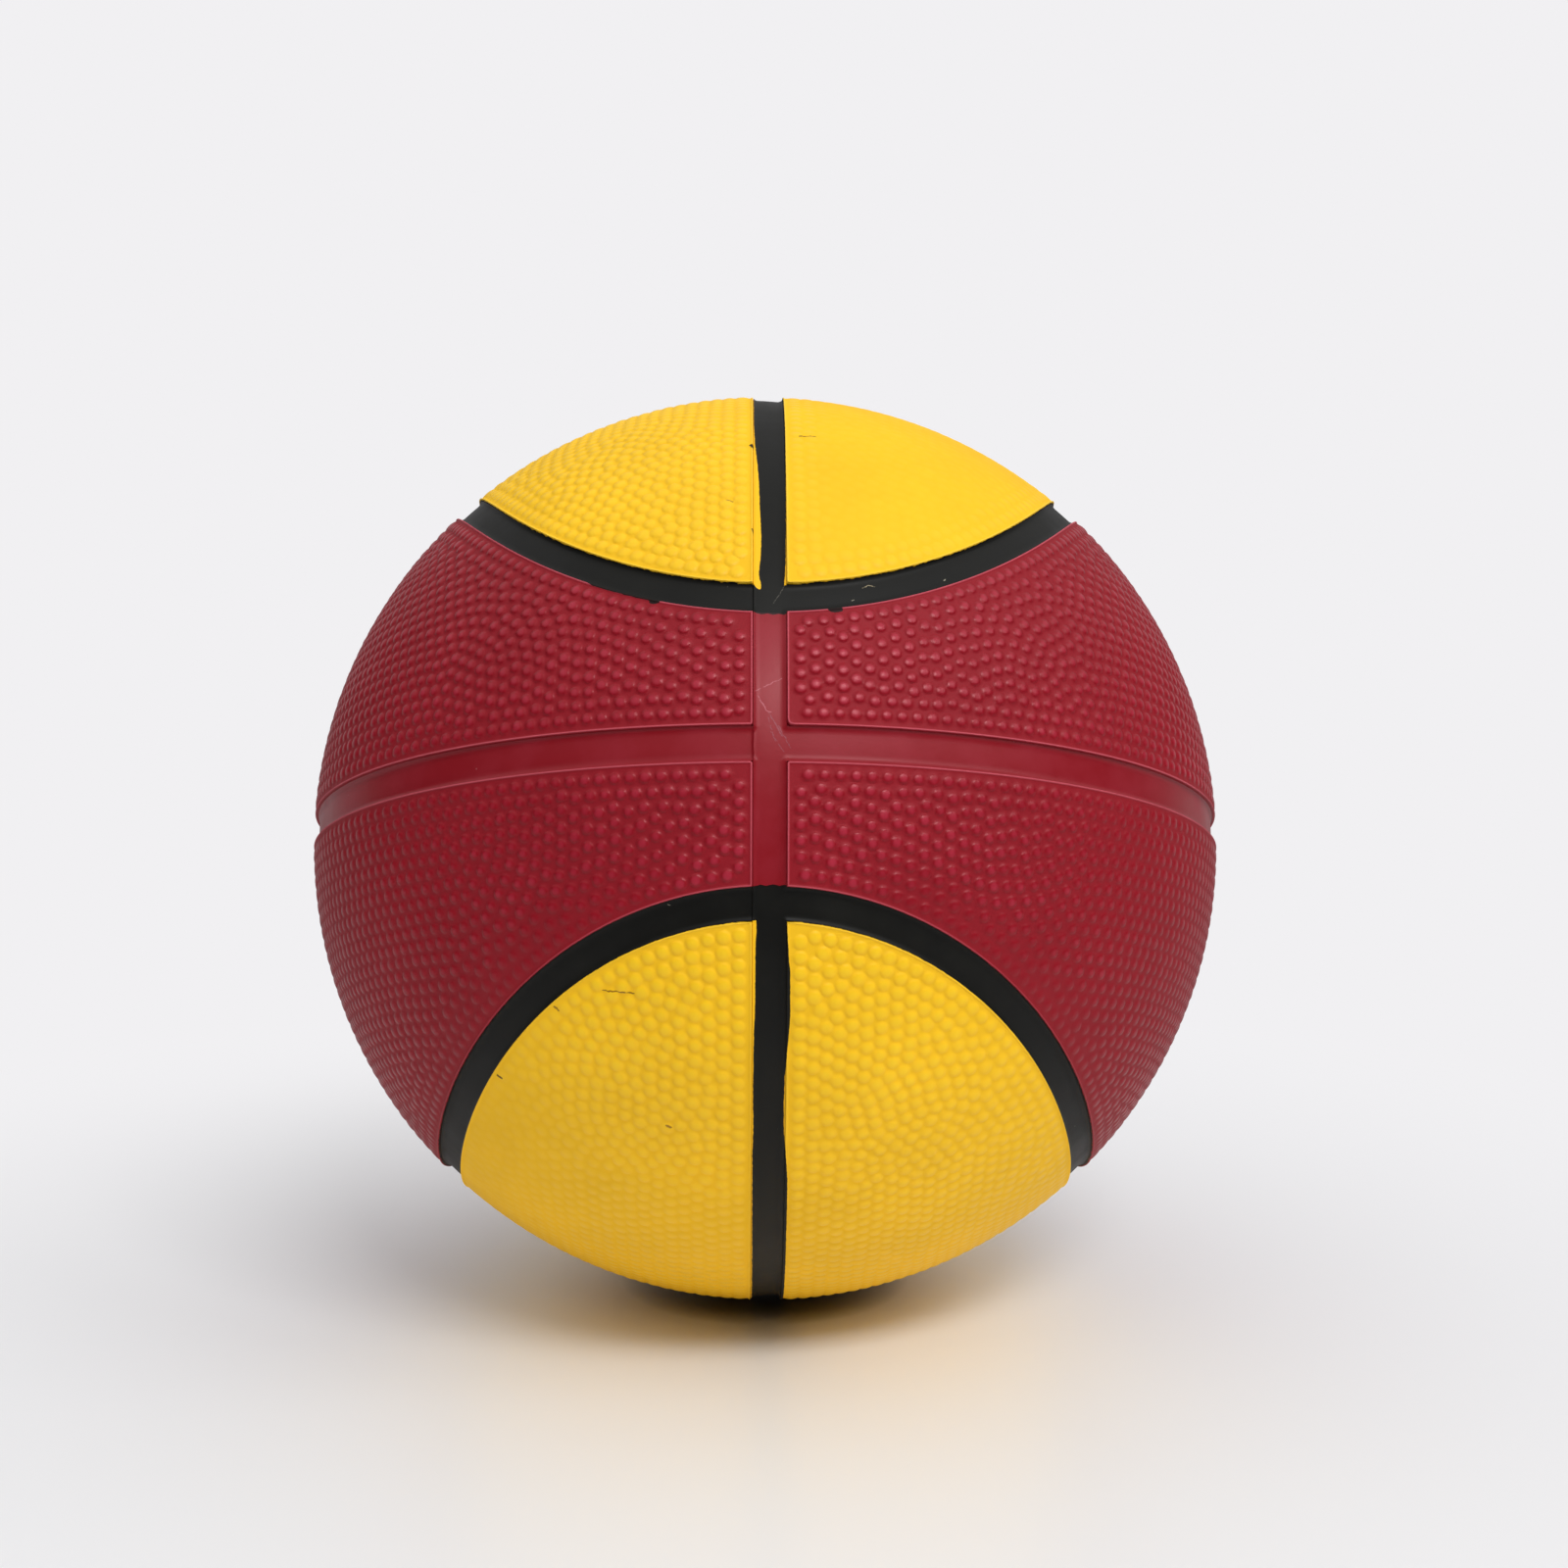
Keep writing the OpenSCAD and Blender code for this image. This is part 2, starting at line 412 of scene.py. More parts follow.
def turned_body(
    profile: np.ndarray, segments: int, ring: bool
) -> tuple[np.ndarray, list[np.ndarray]]:
    """Turns an outline about the valve's axis, which is +X.

    Each point of the outline makes a circle: y and z are its radius times the cosine and sine
    of the turn, and x is its height.

    Args:
        profile: Radius and height of the outline's points, in millimetres.
        segments: Number of steps round the axis.
        ring: Whether the outline closes on itself; otherwise a flat disc closes each end.

    Returns:
        The vertices and the groups of faces.
    """
    turn = np.arange(segments) * 2.0 * math.pi / segments
    radius, height = profile[:, 0, None], profile[:, 1, None]
    points = np.stack([height + 0.0 * turn, radius * np.cos(turn), radius * np.sin(turn)], axis=-1)
    number = np.arange(points.shape[0] * segments).reshape(-1, segments)
    after = np.roll(number, -1, axis=0) if ring else number[1:]
    before = number if ring else number[:-1]
    quads = np.stack(
        [before, after, np.roll(after, -1, axis=1), np.roll(before, -1, axis=1)], axis=-1
    )
    faces = [quads.reshape(-1, 4)]
    if not ring:
        faces.append(np.stack([number[0], number[-1][::-1]]))
    return points.reshape(-1, 3), [group[:, ::-1] for group in faces]


def linear(hex_colour: str) -> tuple[float, float, float, float]:
    """Turns an sRGB colour to the linear values that a shader takes.

    Args:
        hex_colour: The colour as six hexadecimal digits after a hash.

    Returns:
        Linear red, green and blue, and an alpha of 1.
    """
    values = [int(hex_colour[i : i + 2], 16) / 255.0 for i in (1, 3, 5)]
    red, green, blue = (
        v / 12.92 if v <= 0.04045 else ((v + 0.055) / 1.055) ** 2.4 for v in values
    )
    return red, green, blue, 1.0


def add_node(
    tree: NodeTree, kind: str, inputs: Optional[dict[Any, Any]] = None, **settings: Any
) -> Node:
    """Adds a node to a material, with its settings and what goes into it.

    Args:
        tree: The material's node tree.
        kind: Type of the node, without the ShaderNode that all types begin with.
        inputs: By the name or number of an input, the output that it is linked to or its value.
        **settings: The node's properties.

    Returns:
        The node.
    """
    node = tree.nodes.new("ShaderNode" + kind)
    for name, value in settings.items():
        setattr(node, name, value)
    for key, value in (inputs or {}).items():
        if isinstance(value, NodeSocket):
            tree.links.new(value, node.inputs[key])
        else:
            node.inputs[key].default_value = value
    return node


@dataclass(frozen=True)
class PaintEdge:
    """Where yellow meets black beside a yellow panel's upright edge.

    At each of its angles from the front, in degrees, the yellow reaches so many millimetres
    over the strip. Below zero the black climbs as far over the panel instead.
    """

    side: Side
    level: Level
    angles: tuple[float, ...]
    reaches: tuple[float, ...]

    def reach_at(self, angle: np.ndarray) -> np.ndarray:
        """How far the yellow reaches at angles from the front, in millimetres."""
        return np.interp(angle, self.angles, self.reaches)


PAINT_EDGES = {
    (edge.side, edge.level): edge
    for edge in (
        PaintEdge(
            Side.LEFT,
            Level.UPPER,
            (18.0, 19.3, 20.2, 20.8, 21.9, 23.6, 26.4, 29.7, 36.9, 43.7, 50.0),
            (1.25, 1.32, 0.95, 0.92, 1.05, 1.28, 1.34, 1.15, 0.87, 0.28, 0.05),
        ),
        PaintEdge(
            Side.RIGHT, Level.UPPER, (19.3, 21.0, 24.0, 33.0, 44.0), (0.35, 0.12, 0.02, -0.04, -0.1)
        ),
        PaintEdge(
            Side.LEFT,
            Level.LOWER,
            (19.4, 22.9, 28.5, 31.3, 37.4, 44.0, 47.6, 65.0),
            (0.65, 0.48, 0.44, 0.28, 0.15, 0.24, 0.1, 0.16),
        ),
        PaintEdge(
            Side.RIGHT,
            Level.LOWER,
            (19.4, 22.9, 24.6, 29.8, 31.3, 34.4, 37.4, 41.0, 44.0, 47.6, 51.4, 80.0),
            (-0.03, -0.35, -0.6, -0.68, -0.5, -0.15, 0.1, 0.2, 0.17, -0.2, -0.55, -0.55),
        ),
    )
}


@dataclass(frozen=True)
class Scuff:
    """A thin mark on the surface: a scratch, a hair or a speck of dirt.

    Its ends are latitudes and longitudes in pattern axes, in degrees, and its half width is in
    millimetres.
    """

    start: tuple[float, float]
    end: tuple[float, float]
    half_width: float
    colour: str

    def ends(self) -> tuple[Vector, Vector]:
        """Places the mark on the lying ball.

        Returns:
            Its two ends, in metres.
        """
        angles = np.radians([self.start, self.end])
        places = sphere_point(angles[:, 0], angles[:, 1]) * PATTERN.ball_r
        first, last = places @ PATTERN.lying.T * MM
        return Vector(first), Vector(last)


@dataclass(frozen=True)
class CoverFinish:
    """Vulcanised rubber, moulded with pebbles and sprayed with a flexible rubber paint.

    The paint gives a satin gloss, which touching has polished on the pebble tops. Those tops are
    painted paler, partly as wear and partly as a painted highlight; a painted highlight lies along
    the bead at the edges, and a patchy painted shade in the hollows. The channel's black stops at
    the panel's lip in a hand-cut line.

    lip_highlight is the strength of the highlight painted on the bead, of which the share
    lip_highlight_below is left under the two lip_highlight_heights, in millimetres above the
    ball's middle. Patchy noise, by griminess, and the dull ground between the pebbles add to the
    roughness. Rim and grain are the depths of the bumps at the pebbles' feet and in the paint, and
    fray is how far the black's edge strays, in millimetres.
    """

    name: str
    slot: str
    paint: str
    # crown: partly wear, partly a painted highlight on the pebble tops; lip: a painted highlight on
    # the bead; hollow_shade_colour: a painted shade in the hollows
    crown: str
    hollow_shade_colour: str
    lip: str
    channel: str
    roughness: float
    dullness: float = 0.3
    griminess: float = 0.12
    # How strongly shade is painted into the hollows
    depth: float = 0.3
    lip_highlight: float = 0.8
    lip_highlight_below: float = 0.3
    lip_highlight_heights: tuple[float, float] = (-10.0, 20.0)
    sheen: float = 0.36
    sheen_tint: str = "#FFFFFF"
    rim: float = 0.05
    grain: float = 0.055
    grain_strength: float = 0.6
    fray: float = 0.22
    scuffs: tuple[Scuff, ...] = ()

    def build(self) -> Material:
        """Makes the material from the relief, edge and spill fields of a panel.

        Returns:
            The material.
        """
        material = bpy.data.materials.new(self.name)
        material.use_nodes = True
        tree = material.node_tree
        shader = tree.nodes["Principled BSDF"]
        place = add_node(tree, "TexCoord").outputs["Object"]
        relief = add_node(tree, "Attribute", attribute_name="relief").outputs["Fac"]
        edge = add_node(tree, "Attribute", attribute_name="edge").outputs["Fac"]
        spill = add_node(tree, "Attribute", attribute_name="spill").outputs["Fac"]

        # Clouds of 25 mm shift the paint's tone, and shade is painted into the hollows, made patchy
        # by noise of 4 mm
        clouds = add_node(
            tree, "TexNoise", {"Vector": place, "Scale": 40.0, "Detail": 3.0, "Roughness": 0.55}
        ).outputs["Fac"]
        grime_and_shade_noise = add_node(
            tree, "TexNoise", {"Vector": place, "Scale": 250.0, "Detail": 4.0, "Roughness": 0.6}
        ).outputs["Fac"]
        hollows = add_node(
            tree,
            "MapRange",
            {"Value": relief, "From Max": 0.5, "To Min": self.depth, "To Max": 0.0},
        ).outputs["Result"]
        shade_in_hollows = add_node(tree, "Math", {0: hollows, 1: grime_and_shade_noise}, operation="MULTIPLY").outputs[0]
        colour = add_node(
            tree,
            "Mix",
            {0: shade_in_hollows, 6: linear(self.paint), 7: linear(self.hollow_shade_colour)},
            data_type="RGBA",
        ).outputs[2]
        # The pebble tops are painted paler: partly wear, partly a painted highlight
        tops = add_node(
            tree,
            "MapRange",
            {"Value": relief, "From Min": 0.4, "From Max": 0.9},
            interpolation_type="SMOOTHSTEP",
        ).outputs["Result"]
        worn_and_highlit = add_node(tree, "Math", {0: tops, 1: clouds}, operation="MULTIPLY").outputs[0]
        colour = add_node(
            tree, "Mix", {0: worn_and_highlit, 6: colour, 7: linear(self.crown)}, data_type="RGBA"
        ).outputs[2]
        shade = add_node(
            tree,
            "MapRange",
            {"Value": clouds, "From Min": 0.3, "From Max": 0.7, "To Min": 0.95, "To Max": 1.04},
        ).outputs["Result"]
        colour = add_node(
            tree, "VectorMath", {0: colour, "Scale": shade}, operation="SCALE"
        ).outputs[0]

        # A highlight is painted on the bead along the panel's edge, in a line about 0.3 mm
        # wide, and weakest where the bead faces down
        height = add_node(tree, "SeparateXYZ", {0: place}).outputs["Z"]
        lip_highlight_level = add_node(
            tree,
            "MapRange",
            {
                "Value": height,
                "From Min": self.lip_highlight_heights[0] * MM,
                "From Max": self.lip_highlight_heights[1] * MM,
                "To Min": self.lip_highlight_below * self.lip_highlight,
                "To Max": self.lip_highlight,
            },
        ).outputs["Result"]
        outer = add_node(
            tree, "MapRange", {"Value": edge, "From Min": 0.08, "From Max": 0.2, "To Max": lip_highlight_level}
        ).outputs["Result"]
        inner = add_node(
            tree, "MapRange", {"Value": edge, "From Min": 0.48, "From Max": 0.32}
        ).outputs["Result"]
        lip = add_node(tree, "Math", {0: outer, 1: inner}, operation="MULTIPLY").outputs[0]
        colour = add_node(
            tree, "Mix", {0: lip, 6: colour, 7: linear(self.lip)}, data_type="RGBA"
        ).outputs[2]
        colour = draw_scuffs(tree, place, colour, self.scuffs)

        covered = painted_over(tree, place, spill, self.fray)
        colour = add_node(
            tree, "Mix", {0: covered, 6: colour, 7: linear(self.channel)}, data_type="RGBA"
        ).outputs[2]
        tree.links.new(colour, shader.inputs["Base Color"])

        # Touching has polished the pebble tops, while the ground between them stays dull
        dull = add_node(
            tree,
            "MapRange",
            {
                "Value": relief,
                "From Max": 0.35,
                "To Min": self.roughness + self.dullness,
                "To Max": self.roughness,
            },
        ).outputs["Result"]
        gloss = add_node(
            tree, "Math", {0: grime_and_shade_noise, 1: self.griminess, 2: dull}, operation="MULTIPLY_ADD"
        ).outputs[0]
        tree.links.new(gloss, shader.inputs["Roughness"])
        shader.inputs["Specular IOR Level"].default_value = self.sheen
        shader.inputs["Specular Tint"].default_value = linear(self.sheen_tint)

        # Each pebble's foot is steeper than its mesh: relief passes zero there
        foot = add_node(
            tree,
            "MapRange",
            {"Value": relief, "From Min": 0.02, "From Max": 0.55},
            interpolation_type="SMOOTHSTEP",
        ).outputs["Result"]
        raised = add_node(
            tree, "Bump", {"Height": foot, "Strength": 1.0, "Distance": self.rim * MM}
        ).outputs["Normal"]

        # Orange peel of 0.5 mm in the sprayed paint, with finer grain of 0.15 mm
        peel = add_node(
            tree, "TexNoise", {"Vector": place, "Scale": 2000.0, "Detail": 2.0, "Roughness": 0.7}
        ).outputs["Fac"]
        bump = add_node(
            tree,
            "Bump",
            {
                "Height": peel,
                "Strength": self.grain_strength,
                "Distance": self.grain * MM,
                "Normal": raised,
            },
        ).outputs["Normal"]
        tree.links.new(bump, shader.inputs["Normal"])
        return material


def painted_over(tree: NodeTree, place: NodeSocket, spill: NodeSocket, fray: float) -> NodeSocket:
    """Says where the neighbour's paint covers a surface.

    It ends where the spill field, frayed by noise of about 1 mm and finer, passes zero.

    Args:
        tree: The material's node tree.
        place: Object coordinates.
        spill: How far the paint reaches over a place, in millimetres.
        fray: How far the noise moves the edge to both sides together, in millimetres.

    Returns:
        1 where the paint covers the surface, and 0 where it doesn't.
    """
    noise = add_node(
        tree, "TexNoise", {"Vector": place, "Scale": 900.0, "Detail": 3.0, "Roughness": 0.6}
    ).outputs["Fac"]
    reach = add_node(
        tree, "Math", {0: noise, 1: fray, 2: spill}, operation="MULTIPLY_ADD"
    ).outputs[0]
    return add_node(
        tree,
        "MapRange",
        {"Value": reach, "From Min": fray / 2 - PAINT_BLUR, "From Max": fray / 2 + PAINT_BLUR},
    ).outputs["Result"]


def draw_scuffs(
    tree: NodeTree, place: NodeSocket, colour: NodeSocket, scuffs: tuple[Scuff, ...]
) -> NodeSocket:
    """Draws thin marks over a colour.

    The surface is first moved straight out to the ball's radius. The point's share of the way
    along a mark is its offset from the start, dotted with the mark's direction over its length
    squared and kept between 0 and 1. The mark shows where the distance to that place on it,
    frayed by noise, is under its half width.

    Args:
        tree: The material's node tree.
        place: Object coordinates.
        colour: The colour under the marks.
        scuffs: The marks.

    Returns:
        The colour with the marks.
    """
    if not scuffs:
        return colour
    fray = add_node(
        tree, "TexNoise", {"Vector": place, "Scale": 1500.0, "Detail": 2.0}
    ).outputs["Color"]
    outward_way = add_node(tree, "VectorMath", {0: place}, operation="NORMALIZE").outputs[0]
    level_place = add_node(
        tree, "VectorMath", {0: outward_way, "Scale": PATTERN.ball_r * MM}, operation="SCALE"
    ).outputs[0]
    shifted = add_node(
        tree,
        "VectorMath",
        {0: fray, 1: (SCUFF_JITTER * MM,) * 3, 2: level_place},
        operation="MULTIPLY_ADD",
    ).outputs[0]
    middle = Vector((SCUFF_JITTER / 2 * MM,) * 3)
    for scuff in scuffs:
        start, end = scuff.ends()
        line = end - start
        half = scuff.half_width * MM
        offset = add_node(
            tree, "VectorMath", {0: shifted, 1: start + middle}, operation="SUBTRACT"
        ).outputs["Vector"]
        share = add_node(
            tree, "VectorMath", {0: offset, 1: line / line.length_squared}, operation="DOT_PRODUCT"
        ).outputs["Value"]
        kept = add_node(tree, "Clamp", {"Value": share}).outputs[0]
        nearest = add_node(
            tree, "VectorMath", {0: line, "Scale": kept}, operation="SCALE"
        ).outputs["Vector"]
        distance = add_node(
            tree, "VectorMath", {0: offset, 1: nearest}, operation="DISTANCE"
        ).outputs["Value"]
        mark = add_node(
            tree,
            "MapRange",
            {
                "Value": distance,
                "From Min": half * (1.0 + SCUFF_BLUR),
                "From Max": half * (1.0 - SCUFF_BLUR),
            },
        ).outputs["Result"]
        colour = add_node(
            tree, "Mix", {0: mark, 6: colour, 7: linear(scuff.colour)}, data_type="RGBA"
        ).outputs[2]
    return colour


@dataclass(frozen=True)
class StripFinish:
    """Vulcanised rubber strip, moulded smooth and painted by hand.

    It is plainer than the panels, with cloudy wear, dust and hairs, and where the spill field is
    above zero the neighbour's paint has run over it. Fray is how far that paint's edge strays,
    in millimetres.
    """

    name: str
    slot: str
    paint: str
    pale: str
    spilt: str
    dust: str
    roughness: float
    sheen: float = 0.15
    sheen_tint: str = "#FFFFFF"
    fray: float = 0.3
    scuffs: tuple[Scuff, ...] = ()

    def build(self) -> Material:
        """Makes the material from the spill field of a strip.

        Returns:
            The material.
        """
        material = bpy.data.materials.new(self.name)
        material.use_nodes = True
        tree = material.node_tree
        shader = tree.nodes["Principled BSDF"]
        place = add_node(tree, "TexCoord").outputs["Object"]
        spill = add_node(tree, "Attribute", attribute_name="spill").outputs["Fac"]

        # Cloudy wear of 12 mm, with finer clouds in it
        clouds = add_node(
            tree, "TexNoise", {"Vector": place, "Scale": 85.0, "Detail": 5.0, "Roughness": 0.6}
        ).outputs["Fac"]
        wear = add_node(
            tree, "MapRange", {"Value": clouds, "From Min": 0.42, "From Max": 0.72, "To Max": 0.8}
        ).outputs["Result"]
        colour = add_node(
            tree, "Mix", {0: wear, 6: linear(self.paint), 7: linear(self.pale)}, data_type="RGBA"
        ).outputs[2]

        # Dust: in some cells of 2 mm there is a speck of up to 0.36 mm
        cells = add_node(tree, "TexVoronoi", {"Vector": place, "Scale": 500.0})
        size = add_node(
            tree, "MapRange", {"Value": cells.outputs["Color"], "From Min": 0.72, "To Max": 0.09}
        ).outputs["Result"]
        speck = add_node(
            tree, "Math", {0: cells.outputs["Distance"], 1: size}, operation="LESS_THAN"
        ).outputs[0]
        dusty = add_node(tree, "Math", {0: speck, 1: 0.45}, operation="MULTIPLY").outputs[0]
        colour = add_node(
            tree, "Mix", {0: dusty, 6: colour, 7: linear(self.dust)}, data_type="RGBA"
        ).outputs[2]
        colour = draw_scuffs(tree, place, colour, self.scuffs)

        covered = painted_over(tree, place, spill, self.fray)
        colour = add_node(
            tree, "Mix", {0: covered, 6: colour, 7: linear(self.spilt)}, data_type="RGBA"
        ).outputs[2]
        tree.links.new(colour, shader.inputs["Base Color"])

        # The worn clouds are a little duller
        gloss = add_node(
            tree,
            "MapRange",
            {
                "Value": clouds,
                "From Min": 0.3,
                "From Max": 0.7,
                "To Min": self.roughness - 0.05,
                "To Max": self.roughness + 0.08,
            },
        ).outputs["Result"]
        tree.links.new(gloss, shader.inputs["Roughness"])
        shader.inputs["Specular IOR Level"].default_value = self.sheen
        shader.inputs["Specular Tint"].default_value = linear(self.sheen_tint)

        # Flow ripples of 1.2 mm in the brushed paint
        ripple = add_node(
            tree, "TexNoise", {"Vector": place, "Scale": 800.0, "Detail": 4.0, "Roughness": 0.65}
        ).outputs["Fac"]
        bump = add_node(
            tree, "Bump", {"Height": ripple, "Strength": 0.3, "Distance": 0.05 * MM}
        ).outputs["Normal"]
        tree.links.new(bump, shader.inputs["Normal"])
        return material


@dataclass(frozen=True)
class LayerFinish:
    """A plain layer of the ball's inside, such as butyl rubber, cured latex or nylon thread.

    Noise mottles its colour. Where it is wound, bands of thread cross it; the distance between
    two of them is 2 pi times band_mm.
    """

    name: str
    slot: str
    base: str
    mottle: str
    roughness: float
    mottle_mm: float
    band_mm: float = 0.0

    def build(self) -> Material:
        """Makes the material.

        Returns:
            The material.
        """
        material = bpy.data.materials.new(self.name)
        material.use_nodes = True
        tree = material.node_tree
        shader = tree.nodes["Principled BSDF"]
        place = add_node(tree, "TexCoord").outputs["Object"]
        clouds = add_node(
            tree,
            "TexNoise",
            {"Vector": place, "Scale": 1.0 / (self.mottle_mm * MM), "Detail": 5.0},
        ).outputs["Fac"]
        colour = add_node(
            tree,
            "Mix",
            {0: clouds, 6: linear(self.base), 7: linear(self.mottle)},
            data_type="RGBA",
        ).outputs[2]
        height = clouds
        if self.band_mm:
            height = self.add_threads(tree, place)
            # The grooves between the threads are painted darker, a painted shade
            colour = add_node(
                tree, "Mix", {0: height, 6: linear(self.mottle), 7: colour}, data_type="RGBA"
            ).outputs[2]
        tree.links.new(colour, shader.inputs["Base Color"])
        gloss = add_node(
            tree,
            "MapRange",
            {"Value": clouds, "To Min": self.roughness - 0.08, "To Max": self.roughness + 0.08},
        ).outputs["Result"]
        tree.links.new(gloss, shader.inputs["Roughness"])
        bump = add_node(
            tree, "Bump", {"Height": height, "Strength": 0.4, "Distance": 0.08 * MM}
        ).outputs["Normal"]
        tree.links.new(bump, shader.inputs["Normal"])
        return material

    def add_threads(self, tree: NodeTree, place: NodeSocket) -> NodeSocket:
        """Crosses three layers of parallel bands, and keeps the highest of them.

        Args:
            tree: The material's node tree.
            place: Object coordinates.

        Returns:
            The height of the threads, from 0 to 1.
        """
        bands = []
        for turn in ((0.0, 0.0, 0.0), (0.9, 0.4, 0.0), (-0.8, 0.2, 1.1)):
            turned = add_node(tree, "Mapping", {"Vector": place, "Rotation": turn}).outputs[0]
            band = add_node(
                tree,
                "TexWave",
                {
                    "Vector": turned,
                    "Scale": 1.0 / (self.band_mm * MM * WAVE_RATE),
                    "Distortion": 0.6,
                    "Detail": 1.0,
                },
                bands_direction="Z",
            ).outputs["Fac"]
            bands.append(band)
        highest = bands[0]
        for band in bands[1:]:
            highest = add_node(tree, "Math", {0: highest, 1: band}, operation="MAXIMUM").outputs[0]
        return highest


BLACK_PAINT = "#11110F"
GRIME = "#6E4A12"
PALE_SCRATCH = "#B4606A"
GREY_RUB = "#8E4650"
RED_GLINT = "#FFC6CA"
HAIR = "#A79A7C"

YELLOW_COVER = CoverFinish(
    name="vulcanised_rubber_moulded_and_sprayed_yellow",
    slot="cover_yellow",
    paint="#FFCA1B",
    # crown: partly wear, partly a painted highlight; hollow: painted shade; lip: painted highlight
    crown="#FFD124",
    hollow_shade_colour="#E6A010",
    lip="#FFD84E",
    channel=BLACK_PAINT,
    roughness=0.36,
    lip_highlight=0.5,
    sheen=0.24,
    rim=0.04,
    grain=0.02,
    scuffs=(
        Scuff((46.0, 5.2), (46.2, 7.9), 0.16, GRIME),
        Scuff((31.8, -5.6), (31.5, -4.9), 0.2, "#B98A1C"),
        Scuff((43.4, -2.9), (42.7, -2.5), 0.28, "#3A2A12"),
        Scuff((26.9, -2.1), (26.2, -1.9), 0.2, "#8A6418"),
        Scuff((-26.2, -20.4), (-26.7, -16.5), 0.13, "#9A6E14"),
        Scuff((-35.4, -40.5), (-35.8, -39.9), 0.22, GRIME),
        Scuff((-43.1, -15.4), (-43.3, -14.9), 0.25, "#A9781A"),
        Scuff((-27.8, -27.4), (-28.2, -26.9), 0.2, "#A9781A"),
    ),
)

MAROON_COVER = CoverFinish(
    name="vulcanised_rubber_moulded_and_sprayed_maroon",
    slot="cover_maroon",
    paint="#8F1220",
    # crown: partly wear, partly a painted pink highlight; hollow: painted shade; lip: painted
    # highlight
    crown="#B63448",
    hollow_shade_colour="#8A101C",
    lip="#CC5A68",
    channel=BLACK_PAINT,
    roughness=0.26,
    sheen_tint=RED_GLINT,
)

BLACK_STRIP = StripFinish(
    name="vulcanised_rubber_moulded_and_brushed_black",
    slot="strip_black",
    paint=BLACK_PAINT,
    pale="#1A1A17",
    spilt="#FFC41C",
    dust="#8C887C",
    roughness=0.5,
    sheen=0.17,
    scuffs=(
        Scuff((19.2, 11.0), (19.6, 11.6), 0.06, HAIR),
        Scuff((19.6, 11.6), (19.5, 12.5), 0.06, HAIR),
        Scuff((16.7, 0.4), (18.9, 1.7), 0.05, "#5C5952"),
        Scuff((21.4, 21.6), (21.5, 21.8), 0.1, "#9C9686"),
        Scuff((17.4, 9.6), (17.5, 9.8), 0.09, "#8C8676"),
        Scuff((-17.2, -11.5), (-17.3, -11.3), 0.09, "#7C7668"),
    ),
)

MAROON_STRIP = StripFinish(
    name="vulcanised_rubber_moulded_smooth_maroon",
    slot="strip_maroon",
    paint="#8A141F",
    pale="#95222F",
    spilt=BLACK_PAINT,
    dust="#BC7C80",
    roughness=0.38,
    sheen=0.36,
    sheen_tint=RED_GLINT,
    scuffs=(
        Scuff((5.9, -1.6), (7.4, 1.3), 0.07, PALE_SCRATCH),
        Scuff((5.4, -1.3), (3.7, -0.4), 0.09, PALE_SCRATCH),
        Scuff((3.7, -0.4), (3.5, 0.1), 0.09, PALE_SCRATCH),
        Scuff((3.4, -0.1), (0.9, 1.3), 0.1, GREY_RUB),
        Scuff((2.9, -0.2), (0.2, 0.6), 0.07, GREY_RUB),
        Scuff((2.0, 0.9), (-0.4, 2.2), 0.09, GREY_RUB),
        Scuff((1.3, 0.1), (-0.9, 1.5), 0.06, GREY_RUB),
    ),
)

BUTYL = LayerFinish(
    name="butyl_rubber_moulded_dusted_with_talc",
    slot="butyl",
    base="#1C1C1C",
    mottle="#2C2C2B",
    roughness=0.75,
    mottle_mm=6.0,
)
VALVE_RUBBER = LayerFinish(
    name="butyl_rubber_moulded_valve",
    slot="valve_black",
    base="#232321",
    mottle="#2F2F2C",
    roughness=0.6,
    mottle_mm=2.5,
)
LATEX = LayerFinish(
    name="natural_rubber_cured_valve_core",
    slot="valve_latex",
    base="#B98F5A",
    mottle="#A67C48",
    roughness=0.55,
    mottle_mm=2.0,
)
CARCASS_RUBBER = LayerFinish(
    name="natural_rubber_calendered",
    slot="carcass_rubber",
    base="#B98F5A",
    mottle="#A57B49",
    roughness=0.7,
    mottle_mm=5.0,
)
NYLON = LayerFinish(
    name="nylon_thread_wound_and_cemented",
    slot="nylon_thread",
    base="#E8E4D8",
    mottle="#BDB6A4",
    roughness=0.5,
    mottle_mm=3.0,
    band_mm=0.5,
)


